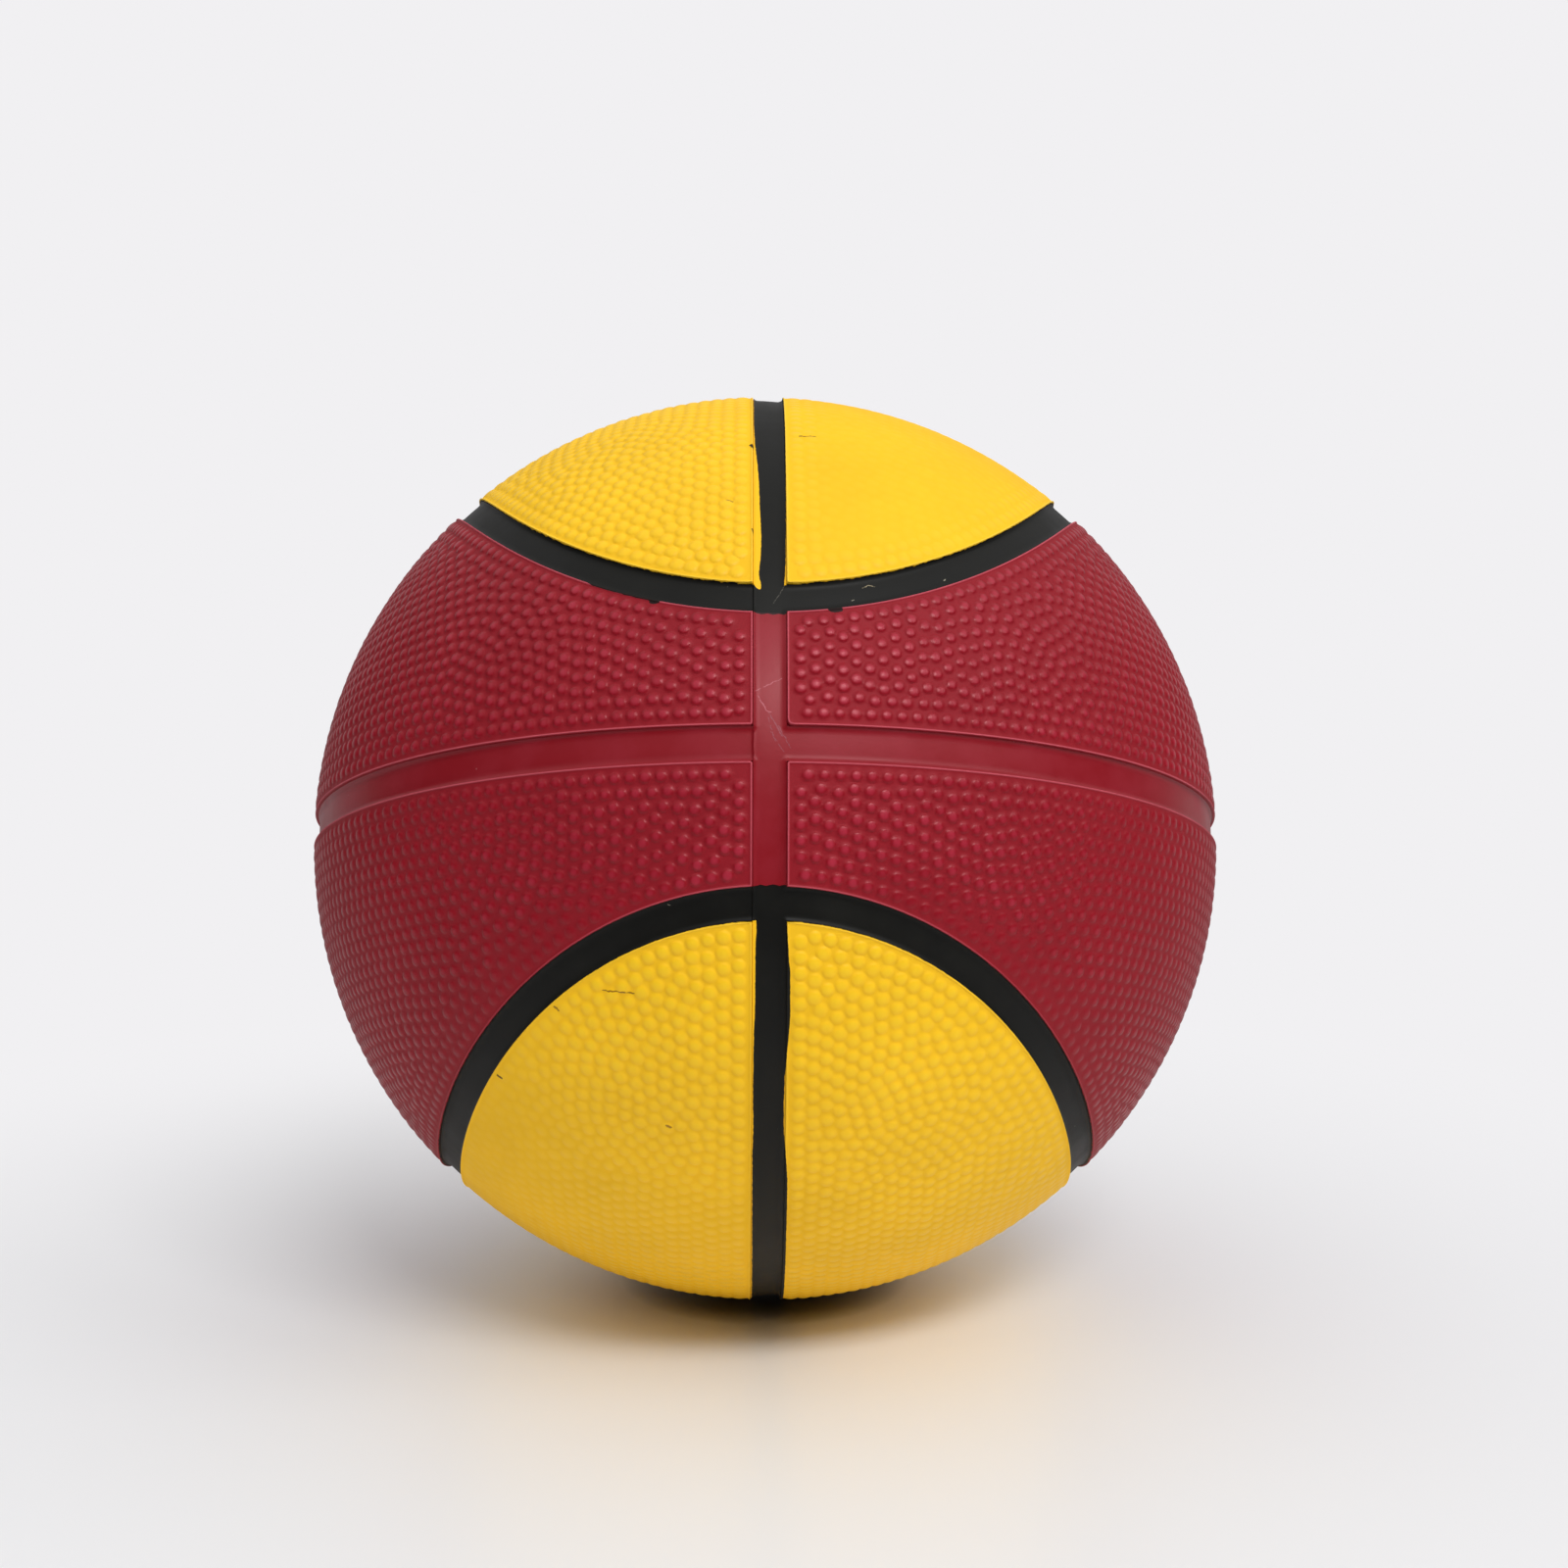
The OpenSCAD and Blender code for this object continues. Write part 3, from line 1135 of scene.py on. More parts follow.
@dataclass
class CoverPanel:
    """A moulded panel of the cover, worked out at the right and above and mirrored into place.

    Sizes are in millimetres, and the focus of the pebbles' contours in degrees. Roundness is the
    power of the relief that makes a pebble, and corner_fall the slope of the face outside a
    rounded corner.

    The row beside the edge may stray by row_slack, the contours begin inner_start row gaps
    further in, and no push brings a pebble closer to the row beside the edge than push_limit.
    Shares of the pitch say how close two pebbles may start, how far a pebble pushes and how far
    a push moves it. Radii and heights are the ranges of the pebbles' differences.
    """

    side: Side
    level: Level
    seed: int
    columns: int
    rows: int = 145
    finish: CoverFinish = MAROON_COVER
    corner_r: float = 0.5
    corner_fall: float = 0.3
    shuffle: float = 0.1
    pebble_r: float = 1.2
    pebble_h: float = 0.36
    roundness: float = 0.62
    pitch: float = 2.66
    row_gap: float = 2.36
    first_row: float = 2.3
    focus_lat: float = 7.8
    focus_lon: float = 39.4
    row_slack: float = 0.15
    inner_start: float = 1.25
    rings: int = 36
    closest: float = 0.74
    push_reach: float = 1.3
    push_step: float = 0.3
    push_limit: float = 0.6
    push_rounds: int = 24
    radii: tuple[float, float] = (0.92, 1.06)
    heights: tuple[float, float] = (0.78, 1.0)

    @property
    def name(self) -> str:
        """The CAD node that this panel stands for."""
        raise NotImplementedError

    @property
    def mirror(self) -> np.ndarray:
        """Signs that carry the panel to its own side and level."""
        return np.array([int(self.side), 1, int(self.level)])

    def chart(self, lat: np.ndarray, lon: np.ndarray) -> np.ndarray:
        """The unit vector at a latitude above the panel's long straight edge."""
        raise NotImplementedError

    def grid(self) -> np.ndarray:
        """Unit vectors of the panel's grid, columns by rows by three."""
        raise NotImplementedError

    def insets(self, points: np.ndarray) -> np.ndarray:
        """Distances in from each of the panel's edges, in millimetres, on the last axis."""
        raise NotImplementedError

    def edge_curves(self, inset: float) -> list[np.ndarray]:
        """Dense curves along each edge, at a distance in from it."""
        raise NotImplementedError

    def strength(self, points: np.ndarray) -> np.ndarray:
        """How much of their full height the pebbles have at a place, from 0 to 1."""
        return np.ones(points.shape[:-1])

    def spill(self, points: np.ndarray) -> np.ndarray:
        """How far the channel's paint reaches over a place, in mm; below zero is bare."""
        raise NotImplementedError

    def contours(self, rng: np.random.Generator) -> np.ndarray:
        """Places pebbles on contours round the panel's focus line.

        Each contour keeps one distance from the line between the two foci: a half circle round
        each end and a line of constant latitude on each side. Pebbles are evenly spaced along.

        Args:
            rng: Source of the contours' phases.

        Returns:
            Unit vectors.
        """
        lat = math.radians(self.focus_lat)
        lons = np.radians([self.focus_lon, 180.0 - self.focus_lon])
        found = []
        for ring in range(self.rings):
            away = (ring + 0.5) * self.row_gap / PATTERN.ball_r
            pieces = []
            for lon, start in ((lons[0], 0.5), (lons[1], -0.5)):
                centre = sphere_point(lat, lon)
                east = sphere_point(0.0, lon + math.pi / 2)
                north = np.cross(east, centre)
                turn = np.linspace(start, start + 1.0, 400)[:, None] * math.pi
                rim = math.sin(away) * (np.cos(turn) * east + np.sin(turn) * north)
                pieces.append(math.cos(away) * centre + rim)
            across = np.linspace(lons[1], lons[0], 800)
            upper = sphere_point(lat + away, across)
            lower = sphere_point(lat - away, across[::-1])
            curve = np.concatenate([upper, pieces[0], lower, pieces[1]])
            found.append(self.along(curve, rng.random()))
        flat = np.concatenate(found)
        return self.chart(np.arcsin(flat[:, 2]), np.arctan2(flat[:, 0], -flat[:, 1]))

    def along(self, curve: np.ndarray, phase: float) -> np.ndarray:
        """Places points about one pitch apart along a curve.

        Args:
            curve: Unit vectors, close together.
            phase: Where the first point lies, as a share of the step between two.

        Returns:
            The points.
        """
        steps = np.linalg.norm(np.diff(curve, axis=0), axis=1) * PATTERN.ball_r
        length = np.concatenate([[0.0], np.cumsum(steps)])
        count = max(int(length[-1] / self.pitch), 1)
        # A phase just under 1 keeps the last point on the curve
        wanted = (np.arange(count) + 0.999 * phase) * length[-1] / count
        return np.stack([np.interp(wanted, length, curve[:, k]) for k in range(3)], axis=-1)

    def pebble_centres(self, rng: np.random.Generator) -> np.ndarray:
        """Places the panel's pebbles.

        Two rows follow the edges, and contours round the focus line fill the rest. Pebbles
        that come too close to an earlier one are dropped, and the others push each other
        apart a few times, all but the row beside the edge.

        Args:
            rng: Source of phases and small shifts.

        Returns:
            Unit vectors.
        """
        groups = []
        for row in range(2):
            inset = self.first_row + row * self.row_gap
            for curve in self.edge_curves(inset):
                points = self.along(curve, rng.random())
                groups.append(points[self.insets(points).min(axis=-1) > inset - self.row_slack])
        # The first half of the groups is the row beside the edge, which keeps its place
        fixed = sum(len(group) for group in groups[: len(groups) // 2])
        inner = unit(self.contours(rng))
        deep = self.first_row + self.inner_start * self.row_gap
        groups.append(inner[self.insets(inner).min(axis=-1) > deep])
        points = unit(np.concatenate(groups))
        span = self.spacing(points)
        earlier = np.tril(span < self.closest * self.pitch, -1).any(axis=1)
        fixed = int((~earlier[:fixed]).sum())
        points = points[~earlier]
        points[fixed:] += rng.normal(0.0, self.shuffle / PATTERN.ball_r, (len(points) - fixed, 3))
        points = unit(points)
        for _ in range(self.push_rounds):
            span = self.spacing(points)
            # No pebble pushes itself
            np.fill_diagonal(span, 1e3)
            push = np.clip(self.push_reach - span / self.pitch, 0.0, None) / span
            shift = push.sum(axis=1)[:, None] * points - push @ points
            moved = unit(points + self.push_step * self.pitch * shift)
            room = self.insets(moved).min(axis=-1) > self.first_row + self.push_limit
            room[:fixed] = False
            points = np.where(room[:, None], moved, points)
        return points

    def spacing(self, points: np.ndarray) -> np.ndarray:
        """Distances between all pairs of places, in millimetres."""
        dots = np.clip(points @ points.T, -1.0, 1.0)
        return PATTERN.ball_r * np.sqrt(np.maximum(2.0 - 2.0 * dots, 0.0))

    def relief(self, points: np.ndarray, rng: np.random.Generator) -> np.ndarray:
        """Relief of the pebbles at a place: 1 on a full top, 0 at the foot, -1 far outside.

        It is a pebble's height times one minus the squared distance from the nearest centre
        over the pebble's radius. Radii and heights differ a little from pebble to pebble.

        Args:
            points: Unit vectors of the grid, flattened.
            rng: Source of the differences.

        Returns:
            The relief.
        """
        centres = self.pebble_centres(rng)
        radii = self.pebble_r * rng.uniform(*self.radii, len(centres))
        heights = rng.uniform(*self.heights, len(centres)) * self.strength(centres)
        LOG.info("%s: %d pebbles", self.name, len(centres))
        found = np.zeros(len(points))
        targets = centres.T.astype(np.float32)
        for start in range(0, len(points), CHUNK):
            part = points[start : start + CHUNK].astype(np.float32)
            dots = part @ targets
            near = dots.argmax(axis=1)
            close = dots[np.arange(len(part)), near]
            gap = PATTERN.ball_r * np.sqrt(np.maximum(2.0 - 2.0 * close, 0.0))
            dome = np.maximum(1.0 - (gap / radii[near]) ** 2, -1.0)
            found[start : start + CHUNK] = heights[near] * dome
        return found

    def build(self, material: Material) -> Object:
        """Builds the panel and dresses it.

        The face lies EDGE_DROPS below the pebble tops near an edge. Pebbles stand on the
        margin's level, and their height follows a power of the relief. The corner between the
        first two edges is rounded off.

        Args:
            material: The panel's finish.

        Returns:
            The piece.
        """
        rng = np.random.default_rng(self.seed)
        grid = unit(self.grid())
        shape = grid.shape[:2]
        insets = self.insets(grid)
        short = np.maximum(self.corner_r - insets[..., :2], 0.0)
        rounded = self.corner_r - np.hypot(short[..., 0], short[..., 1])
        nearest = insets.min(axis=-1)
        edge = np.where(rounded < self.corner_r, np.minimum(rounded, nearest), nearest)
        drop = np.interp(edge, EDGE_STEPS, EDGE_DROPS)
        drop = drop + np.clip(-edge, 0.0, 0.5) * self.corner_fall
        relief = self.relief(grid.reshape(-1, 3), rng).reshape(shape)
        pebbles = self.pebble_h * np.maximum(relief, 0.0) ** self.roundness
        margin = EDGE_DROPS[-1] - self.pebble_h
        top_r = PATTERN.ball_r - np.maximum(drop - margin - pebbles, 0.0)
        points, faces = panel_body(grid, top_r, PATTERN.bed_r)
        faces = [g if self.mirror.prod() > 0 else g[:, ::-1] for g in faces]
        rest = np.zeros(len(points) - top_r.size)
        spill = self.spill(grid * self.mirror)
        piece = make_piece(
            self.name,
            points * self.mirror,
            faces,
            {
                "relief": np.concatenate([relief.ravel(), rest]),
                "edge": np.concatenate([edge.ravel(), rest + EDGE_STEPS[-1]]),
                "spill": np.concatenate([spill.ravel(), rest - 1.0]),
            },
        )
        piece.data.materials.append(material)
        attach(piece, "root")
        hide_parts(self.name)
        return piece


@dataclass
class SidePanel(CoverPanel):
    """A maroon panel between the level channel and a curved one, round the side of the ball.

    The fades are shares of the pebbles' height that are gone beside the curved edge and at the
    side of the ball. Black climbs the curved wall by climb; over the black stretch, given by the
    longitudes where it rises, is full, begins to fall and ends, it reaches further. A nib is a
    latitude, a longitude and a reach, and it is flat_nib times as high as wide.
    """

    columns: int = 585
    fade_loop: float = 0.0
    fade_aside: float = 0.1
    climb: float = 0.1
    black_stretch: tuple[float, float, float, float] = (-22.6, -21.2, -13.6, -12.9)
    black_reach: float = 0.32
    flat_nib: float = 0.45
    nibs: tuple[tuple[float, float, float], ...] = ((17.08, -13.3, 0.5), (15.8, 7.4, 0.62))

    @property
    def name(self) -> str:
        """The CAD node that this panel stands for."""
        return f"{self.level.name.lower()}_side_panel_{self.side.name.lower()}"

    @property
    def pierced(self) -> bool:
        """Whether the valve's hole cuts into the panel."""
        return self.side is Side.RIGHT

    def chart(self, lat: np.ndarray, lon: np.ndarray) -> np.ndarray:
        """The unit vector at a latitude above the level channel's plane."""
        return sphere_point(lat, lon)

    def low_lat(self, lon: np.ndarray, lat: np.ndarray) -> np.ndarray:
        """Latitude of the lower edge, which rises round the valve's hole.

        Args:
            lon: Longitudes.
            lat: Latitudes near the edge, which say how far the hole is.

        Returns:
            The latitudes.
        """
        height = np.full(lon.shape, PATTERN.level)
        if self.pierced:
            away = np.cos(lon) * np.cos(lat)
            hole = PATTERN.hole_r / PATTERN.ball_r
            height = np.maximum(height, np.sqrt(np.maximum(hole**2 - away**2, 0.0)))
        return np.arcsin(height)

    def high_lat(self, lon: np.ndarray) -> np.ndarray:
        """Latitude of the curved edge: the smaller root of its quadratic in the sine.

        Args:
            lon: Longitudes.

        Returns:
            The latitudes.
        """
        square = 1.0 - np.sin(lon) ** 2
        loop_z, radius = PATTERN.loop_z, PATTERN.loop_out
        rest = np.sin(lon) ** 2 + loop_z**2 - radius**2
        root = np.sqrt(np.maximum(loop_z**2 - square * rest, 0.0))
        return np.arcsin(rest / (loop_z + root))

    def grid(self) -> np.ndarray:
        """Works out the panel's grid.

        Rows run from the front to the back, between the two planes of the upright channel, and
        columns climb from the level channel's edge to the curved one. The two depend on each
        other a little, so they are worked out in turn a few times.

        Returns:
            Unit vectors, columns by rows by three.
        """
        low_i, high_i, share_i = (w[:, None] for w in line_weights(self.columns, 0.18))
        low_j, high_j, share_j = (w[None, :] for w in line_weights(self.rows))
        lat = np.full((self.columns, self.rows), 0.25)
        lon = lat
        nudge = 1e-4
        for _ in range(6):
            ring_r = PATTERN.ball_r * np.cos(lat)
            start = np.arcsin(PATTERN.upright / np.cos(lat))
            width = (math.pi - 2.0 * start) * ring_r
            lon = start + (low_i + high_i + width * share_i) / ring_r
            low = self.low_lat(lon, lat)
            high = self.high_lat(lon)
            rise = (self.high_lat(lon + nudge) - self.high_lat(lon - nudge)) / (2 * nudge)
            stretch = np.sqrt(1.0 + (rise / np.cos(high)) ** 2)
            height = (high - low) * PATTERN.ball_r
            lat = low + (low_j + stretch * high_j + height * share_j) / PATTERN.ball_r
        return self.chart(lat, lon)

    def insets(self, points: np.ndarray) -> np.ndarray:
        """Distances in from the panel's edges, and from the valve's hole where it is.

        Args:
            points: Unit vectors in the upper right quarter.

        Returns:
            The distances in millimetres: upright, level and curved edge, and then the hole.
        """
        radius = PATTERN.ball_r
        across = np.arcsin(np.clip(points[..., 0], -1.0, 1.0)) - math.asin(PATTERN.upright)
        above = np.arcsin(np.clip(points[..., 2], -1.0, 1.0)) - math.asin(PATTERN.level)
        edges = [across * radius, above * radius, PATTERN.loop_distance(points, PATTERN.loop_out)]
        if self.pierced:
            away = np.hypot(points[..., 1], points[..., 2]) * radius - PATTERN.hole_r
            edges.append(np.where(points[..., 0] > 0.0, away, radius))
        return np.stack(edges, axis=-1)

    def edge_curves(self, inset: float) -> list[np.ndarray]:
        """Dense curves along the level, curved and upright edges.

        Args:
            inset: Distance in from the edges, in millimetres.

        Returns:
            The curves, as unit vectors.
        """
        step = inset / PATTERN.ball_r
        lon = np.linspace(0.0, math.pi, 4000)
        lat = np.linspace(0.0, math.radians(50.0), 800)
        bar = math.asin(PATTERN.upright) + step
        front = np.arcsin(np.minimum(math.sin(bar) / np.cos(lat), 1.0))
        return [
            sphere_point(math.asin(PATTERN.level) + step, lon),
            PATTERN.loop_curve(lon, PATTERN.loop_out + PATTERN.loop_slope * step),
            sphere_point(lat, front),
            sphere_point(lat, math.pi - front),
        ]

    def strength(self, points: np.ndarray) -> np.ndarray:
        """The pebbles lose height towards the curved edge and the side of the ball.

        The front keeps its pebbles beside the curved edge too.

        Args:
            points: Unit vectors in the upper right quarter.

        Returns:
            The shares of their full height that are left.
        """
        inset = PATTERN.loop_distance(points, PATTERN.loop_out)
        beside = smooth_step(inset, 12.0, 2.0) * smooth_step(points[..., 0], 0.12, 0.35)
        aside = smooth_step(points[..., 0], 0.3, 0.8)
        return (1.0 - self.fade_loop * beside) * (1.0 - self.fade_aside * aside)

    def spill(self, points: np.ndarray) -> np.ndarray:
        """Black climbs the wall of the curved channel, in millimetres past a place.

        On the upper panels' front it also covers the lip for a stretch on the left, and two
        nibs, longer across than up, pass over it.

        Args:
            points: Unit vectors in pattern axes.

        Returns:
            The distances, below zero where the panel is bare.
        """
        reach = self.climb - PATTERN.loop_distance(np.abs(points), PATTERN.loop_out)
        if self.level is Level.LOWER:
            return reach
        turn = np.degrees(np.arctan2(points[..., 0], -points[..., 1]))
        rise, full, last, end = self.black_stretch
        covered = smooth_step(turn, rise, full) * smooth_step(turn, end, last)
        reach = reach + self.black_reach * covered
        for lat, lon, size in self.nibs:
            nib = sphere_point(math.radians(lat), math.radians(lon))
            gap = np.linalg.norm((points - nib) * np.array([self.flat_nib, 1.0, 1.0]), axis=-1)
            reach = np.maximum(reach, size - gap * PATTERN.ball_r)
        return reach


@dataclass
class LoopPanel(CoverPanel):
    """A yellow panel inside a curved channel, on one side of the upright one.

    The fades and drowned are shares of the pebbles' height that are gone. Black climbs the walls
    by climb beside the upright channel and by loop_climb beside the curved one. The panel's ends
    are cut off where it is end_width wide. The sizes are in millimetres.
    """

    columns: int = 640
    finish: CoverFinish = YELLOW_COVER
    shuffle: float = 0.25
    pebble_r: float = 1.36
    pebble_h: float = 0.38
    roundness: float = 0.85
    focus_lat: float = 18.0
    focus_lon: float = 52.0
    fade_in: float = 0.0
    fade_aside: float = 0.4
    fade_low: float = 0.0
    drowned: float = 0.0
    climb: float = 0.06
    loop_climb: float = 0.08
    end_width: float = 3.0

    @property
    def name(self) -> str:
        """The CAD node that this panel stands for."""
        place = "crown" if self.level is Level.UPPER else "base"
        return f"{place}_panel_{self.side.name.lower()}"

    def chart(self, lat: np.ndarray, lon: np.ndarray) -> np.ndarray:
        """The unit vector at a latitude above the upright channel's plane."""
        return sphere_point(lat, lon)[..., ::-1]

    def high_lat(self, lon: np.ndarray) -> np.ndarray:
        """Angle of the curved edge from the upright channel's plane.

        Its cosine C solves (cos lon C) squared + 2 loop_z sin lon C = 1 + loop_z squared -
        radius squared.

        Args:
            lon: Angles from the front, over the top, to the back.

        Returns:
            The angles.
        """
        rest = 1.0 + PATTERN.loop_z**2 - PATTERN.loop_in**2
        tall = PATTERN.loop_z * np.sin(lon)
        root = np.sqrt(tall**2 + rest * np.cos(lon) ** 2)
        return np.arccos(np.clip(rest / (tall + root), -1.0, 1.0))

    def grid(self) -> np.ndarray:
        """Works out the panel's grid.

        Columns cross the panel from the upright channel's edge to the curved one, spaced
        evenly along the curved edge, and rows run from the front to the back. Each end stops
        where the panel is a few millimetres wide and the curved edge still runs straight
        across.

        Returns:
            Unit vectors, columns by rows by three.
        """
        low = math.asin(PATTERN.upright)
        lons = np.linspace(0.2, math.pi / 2, 40000)
        wide = (self.high_lat(lons) - low) * PATTERN.ball_r
        start = float(np.interp(self.end_width, wide, lons))
        half = 0.5 * math.pi - start
        lons = 0.5 * math.pi - half * np.cos(np.linspace(0.0, math.pi, 40000))
        steps = np.hypot(np.diff(lons), np.diff(self.high_lat(lons)))
        length = np.concatenate([[0.0], np.cumsum(steps)])
        lon = np.interp(np.linspace(0.0, length[-1], self.columns), length, lons)[:, None]
        nudge = 1e-5
        high = self.high_lat(lon)
        rise = (self.high_lat(lon + nudge) - self.high_lat(lon - nudge)) / (2 * nudge)
        width = (high - low) * PATTERN.ball_r
        stretch = np.minimum(
            np.sqrt(1.0 + (rise / np.cos(high)) ** 2), 0.5 * width / EDGE_STEPS[-1]
        )
        first = np.minimum(1.0, 0.3 * width / EDGE_STEPS[-1])
        low_j, high_j, share_j = (w[None, :] for w in line_weights(self.rows))
        offset = first * low_j + stretch * high_j + width * share_j
        return self.chart(low + offset / PATTERN.ball_r, np.broadcast_to(lon, offset.shape))

    def insets(self, points: np.ndarray) -> np.ndarray:
        """Distances in from the upright channel's edge and from the curved one.

        Args:
            points: Unit vectors in the upper right quarter.

        Returns:
            The two distances in millimetres.
        """
        across = np.arcsin(np.clip(points[..., 0], -1.0, 1.0)) - math.asin(PATTERN.upright)
        inside = -PATTERN.loop_distance(points, PATTERN.loop_in)
        return np.stack([across * PATTERN.ball_r, inside], axis=-1)

    def edge_curves(self, inset: float) -> list[np.ndarray]:
        """Dense curves along the curved and upright edges.

        Args:
            inset: Distance in from the edges, in millimetres.

        Returns:
            The curves, as unit vectors.
        """
        step = inset / PATTERN.ball_r
        turn = np.linspace(0.0, math.pi, 4000)
        return [
            PATTERN.loop_curve(turn, PATTERN.loop_in - PATTERN.loop_slope * step),
            self.chart(math.asin(PATTERN.upright) + step, turn),
        ]

    def strength(self, points: np.ndarray) -> np.ndarray:
        """The thick yellow paint drowns the pebbles more or less.

        One share is gone everywhere. The three others grow with the distance from the edges,
        with the distance from the upright channel and with the angle from the front.

        Args:
            points: Unit vectors in the upper right quarter.

        Returns:
            The shares that are left.
        """
        inward = smooth_step(self.insets(points).min(axis=-1), 2.0, 9.0)
        aside = smooth_step(points[..., 0], 0.2, 0.62)
        around = smooth_step(np.abs(np.arctan2(points[..., 2], -points[..., 1])), 0.5, 1.1)
        left = (1.0 - self.drowned) * (1.0 - self.fade_in * inward)
        return left * (1.0 - self.fade_aside * aside) * (1.0 - self.fade_low * around)

    def spill(self, points: np.ndarray) -> np.ndarray:
        """Black climbs the walls up to the bead, or as the paint edge beside the strip says.

        Where the yellow has run over the strip, the wall beside it is bare too.

        Args:
            points: Unit vectors in pattern axes.

        Returns:
            The distances in millimetres, below zero where the panel is bare.
        """
        angle = np.degrees(np.arctan2(np.abs(points[..., 2]), -points[..., 1]))
        over = PAINT_EDGES[self.side, self.level].reach_at(angle)
        beside = (np.abs(points[..., 0]) - PATTERN.upright) * PATTERN.ball_r
        inset = -PATTERN.loop_distance(np.abs(points), PATTERN.loop_in)
        bare = smooth_step(over, 0.0, 0.1) * smooth_step(beside, 1.4, 0.6)
        upright = self.climb - beside - np.minimum(over, 0.0)
        return np.maximum(upright, self.loop_climb - inset) - bare


@dataclass
class ChannelStrip:
    """A strip at the bottom of the channels, between the panels' walls.

    It has a number of points across. Lines across it have a spacing, and none are closer than
    tightest. The mould left a step and a ridge on it, with their heights and the ridge's place
    and width. Sizes are in millimetres.
    """

    name: str
    finish: StripFinish
    across: int = 23
    spacing: float = 0.7
    tightest: float = 0.02
    step_h: float = 0.3
    ridge_h: float = 0.1
    ridge_place: float = 0.12
    ridge_w: float = 0.13

    def grid(self) -> np.ndarray:
        """Unit vectors of the strip's face, lines along it by points across by three."""
        raise NotImplementedError

    @property
    def closed(self) -> bool:
        """Whether the strip runs into itself."""
        return False

    def spill(self, points: np.ndarray) -> np.ndarray:
        """How far a neighbour's paint reaches over a place, in mm; below zero is bare."""
        return np.full(points.shape[:-1], -1.0)

    def share(self) -> np.ndarray:
        """Where the lines along the strip lie across it, from 0 to 1."""
        low, high, length = line_weights(self.across)
        width = PATTERN.upright_w
        return (low + high + width * length) / width

    def lines(self, length: float, fine: tuple[tuple[float, float, float], ...]) -> np.ndarray:
        """Where the lines across the strip lie, in millimetres from its start.

        Args:
            length: Length of the strip.
            fine: Start, end and spacing of stretches with extra lines.

        Returns:
            The distances, rising.
        """
        marks = [np.linspace(0.0, length, int(length / self.spacing) + 2)]
        for low, high, gap in fine:
            marks.append(np.arange(max(low, 0.0), min(high, length), gap))
        found = np.unique(np.concatenate(marks))
        keep = np.concatenate([[True], np.diff(found) > self.tightest])
        found = found[keep]
        found[-1] = length
        return found

    def build(self, material: Material) -> Object:
        """Builds the strip on the channels' common floor and dresses it.

        Args:
            material: The strip's finish.

        Returns:
            The piece.
        """
        grid = unit(self.grid())
        top_r = PATTERN.floor_r(grid) + self.parting_line(grid)
        points, faces = ribbon_body(grid, top_r, PATTERN.bed_r, self.closed)
        spill = np.full(len(points), -1.0)
        spill[: top_r.size] = self.spill(grid).ravel()
        piece = make_piece(self.name, points, faces, {"spill": spill})
        piece.data.materials.append(material)
        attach(piece, "root")
        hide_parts(self.name)
        return piece

    def parting_line(self, grid: np.ndarray) -> np.ndarray:
        """The ridge and the step that the mould left along the upright channel's left side.

        Right of that line the floor stands a step higher, and it falls back smoothly towards
        the channel's right side. The ridge is a narrow bell on the step.

        Args:
            grid: Unit vectors in pattern axes.

        Returns:
            Heights in millimetres.
        """
        beside = (grid[..., 0] + PATTERN.upright) * PATTERN.ball_r
        step = smooth_step(beside, -0.12, 0.04)
        raised = self.step_h * step * smooth_step(beside, 1.2 * PATTERN.upright_w, 0.0)
        return raised + self.ridge_h * np.exp(-(((beside - self.ridge_place) / self.ridge_w) ** 2))


@dataclass
class LoopStrip(ChannelStrip):
    """The black strip all round a curved channel.

    The tab of yellow on the upper one has its lengths at places across, from the left to the
    right, in millimetres.
    """

    level: Level = Level.UPPER
    tab_across: tuple[float, ...] = (-3.1, -2.8, -1.9, -1.5)
    tab_lengths: tuple[float, ...] = (0.0, 0.1, 0.85, 0.75)

    @property
    def closed(self) -> bool:
        """The strip runs into itself."""
        return True

    def grid(self) -> np.ndarray:
        """Lines across run between the channel's two cylinders, at even turns.

        They are closer together where the upright channel crosses, and closest at its parting
        line.

        Returns:
            Unit vectors, lines along the strip by points across by three.
        """
        turns = np.linspace(0.0, 2.0 * math.pi, 721)[:-1]
        near = np.linspace(-0.14, 0.14, 90)
        line = np.linspace(-0.046, -0.033, 22)
        turns = np.concatenate([turns, near, line, near + math.pi, math.pi - line])
        turns = np.unique(np.round(turns % (2.0 * math.pi), 5))
        radius = PATTERN.loop_out + (PATTERN.loop_in - PATTERN.loop_out) * self.share()
        points = PATTERN.loop_curve(turns[:, None], radius[None, :])
        return points * np.array([1, 1, int(self.level)])

    def spill(self, points: np.ndarray) -> np.ndarray:
        """Yellow ends in a pointed tab that reaches into the upper curved channel.

        The tab's lower end slopes down along x to its point, and its right side is upright.

        Args:
            points: Unit vectors in pattern axes.

        Returns:
            The distances in millimetres, below zero where the strip is bare.
        """
        if self.level is Level.LOWER:
            return super().spill(points)
        across = points[..., 0] * PATTERN.ball_r
        inset = PATTERN.loop_distance(points, PATTERN.loop_in)
        length = np.interp(across, self.tab_across, self.tab_lengths)
        tab = np.minimum(length - inset, self.tab_across[-1] - across)
        return np.where((points[..., 1] < 0.0) & (across > self.tab_across[0]), tab, -1.0)


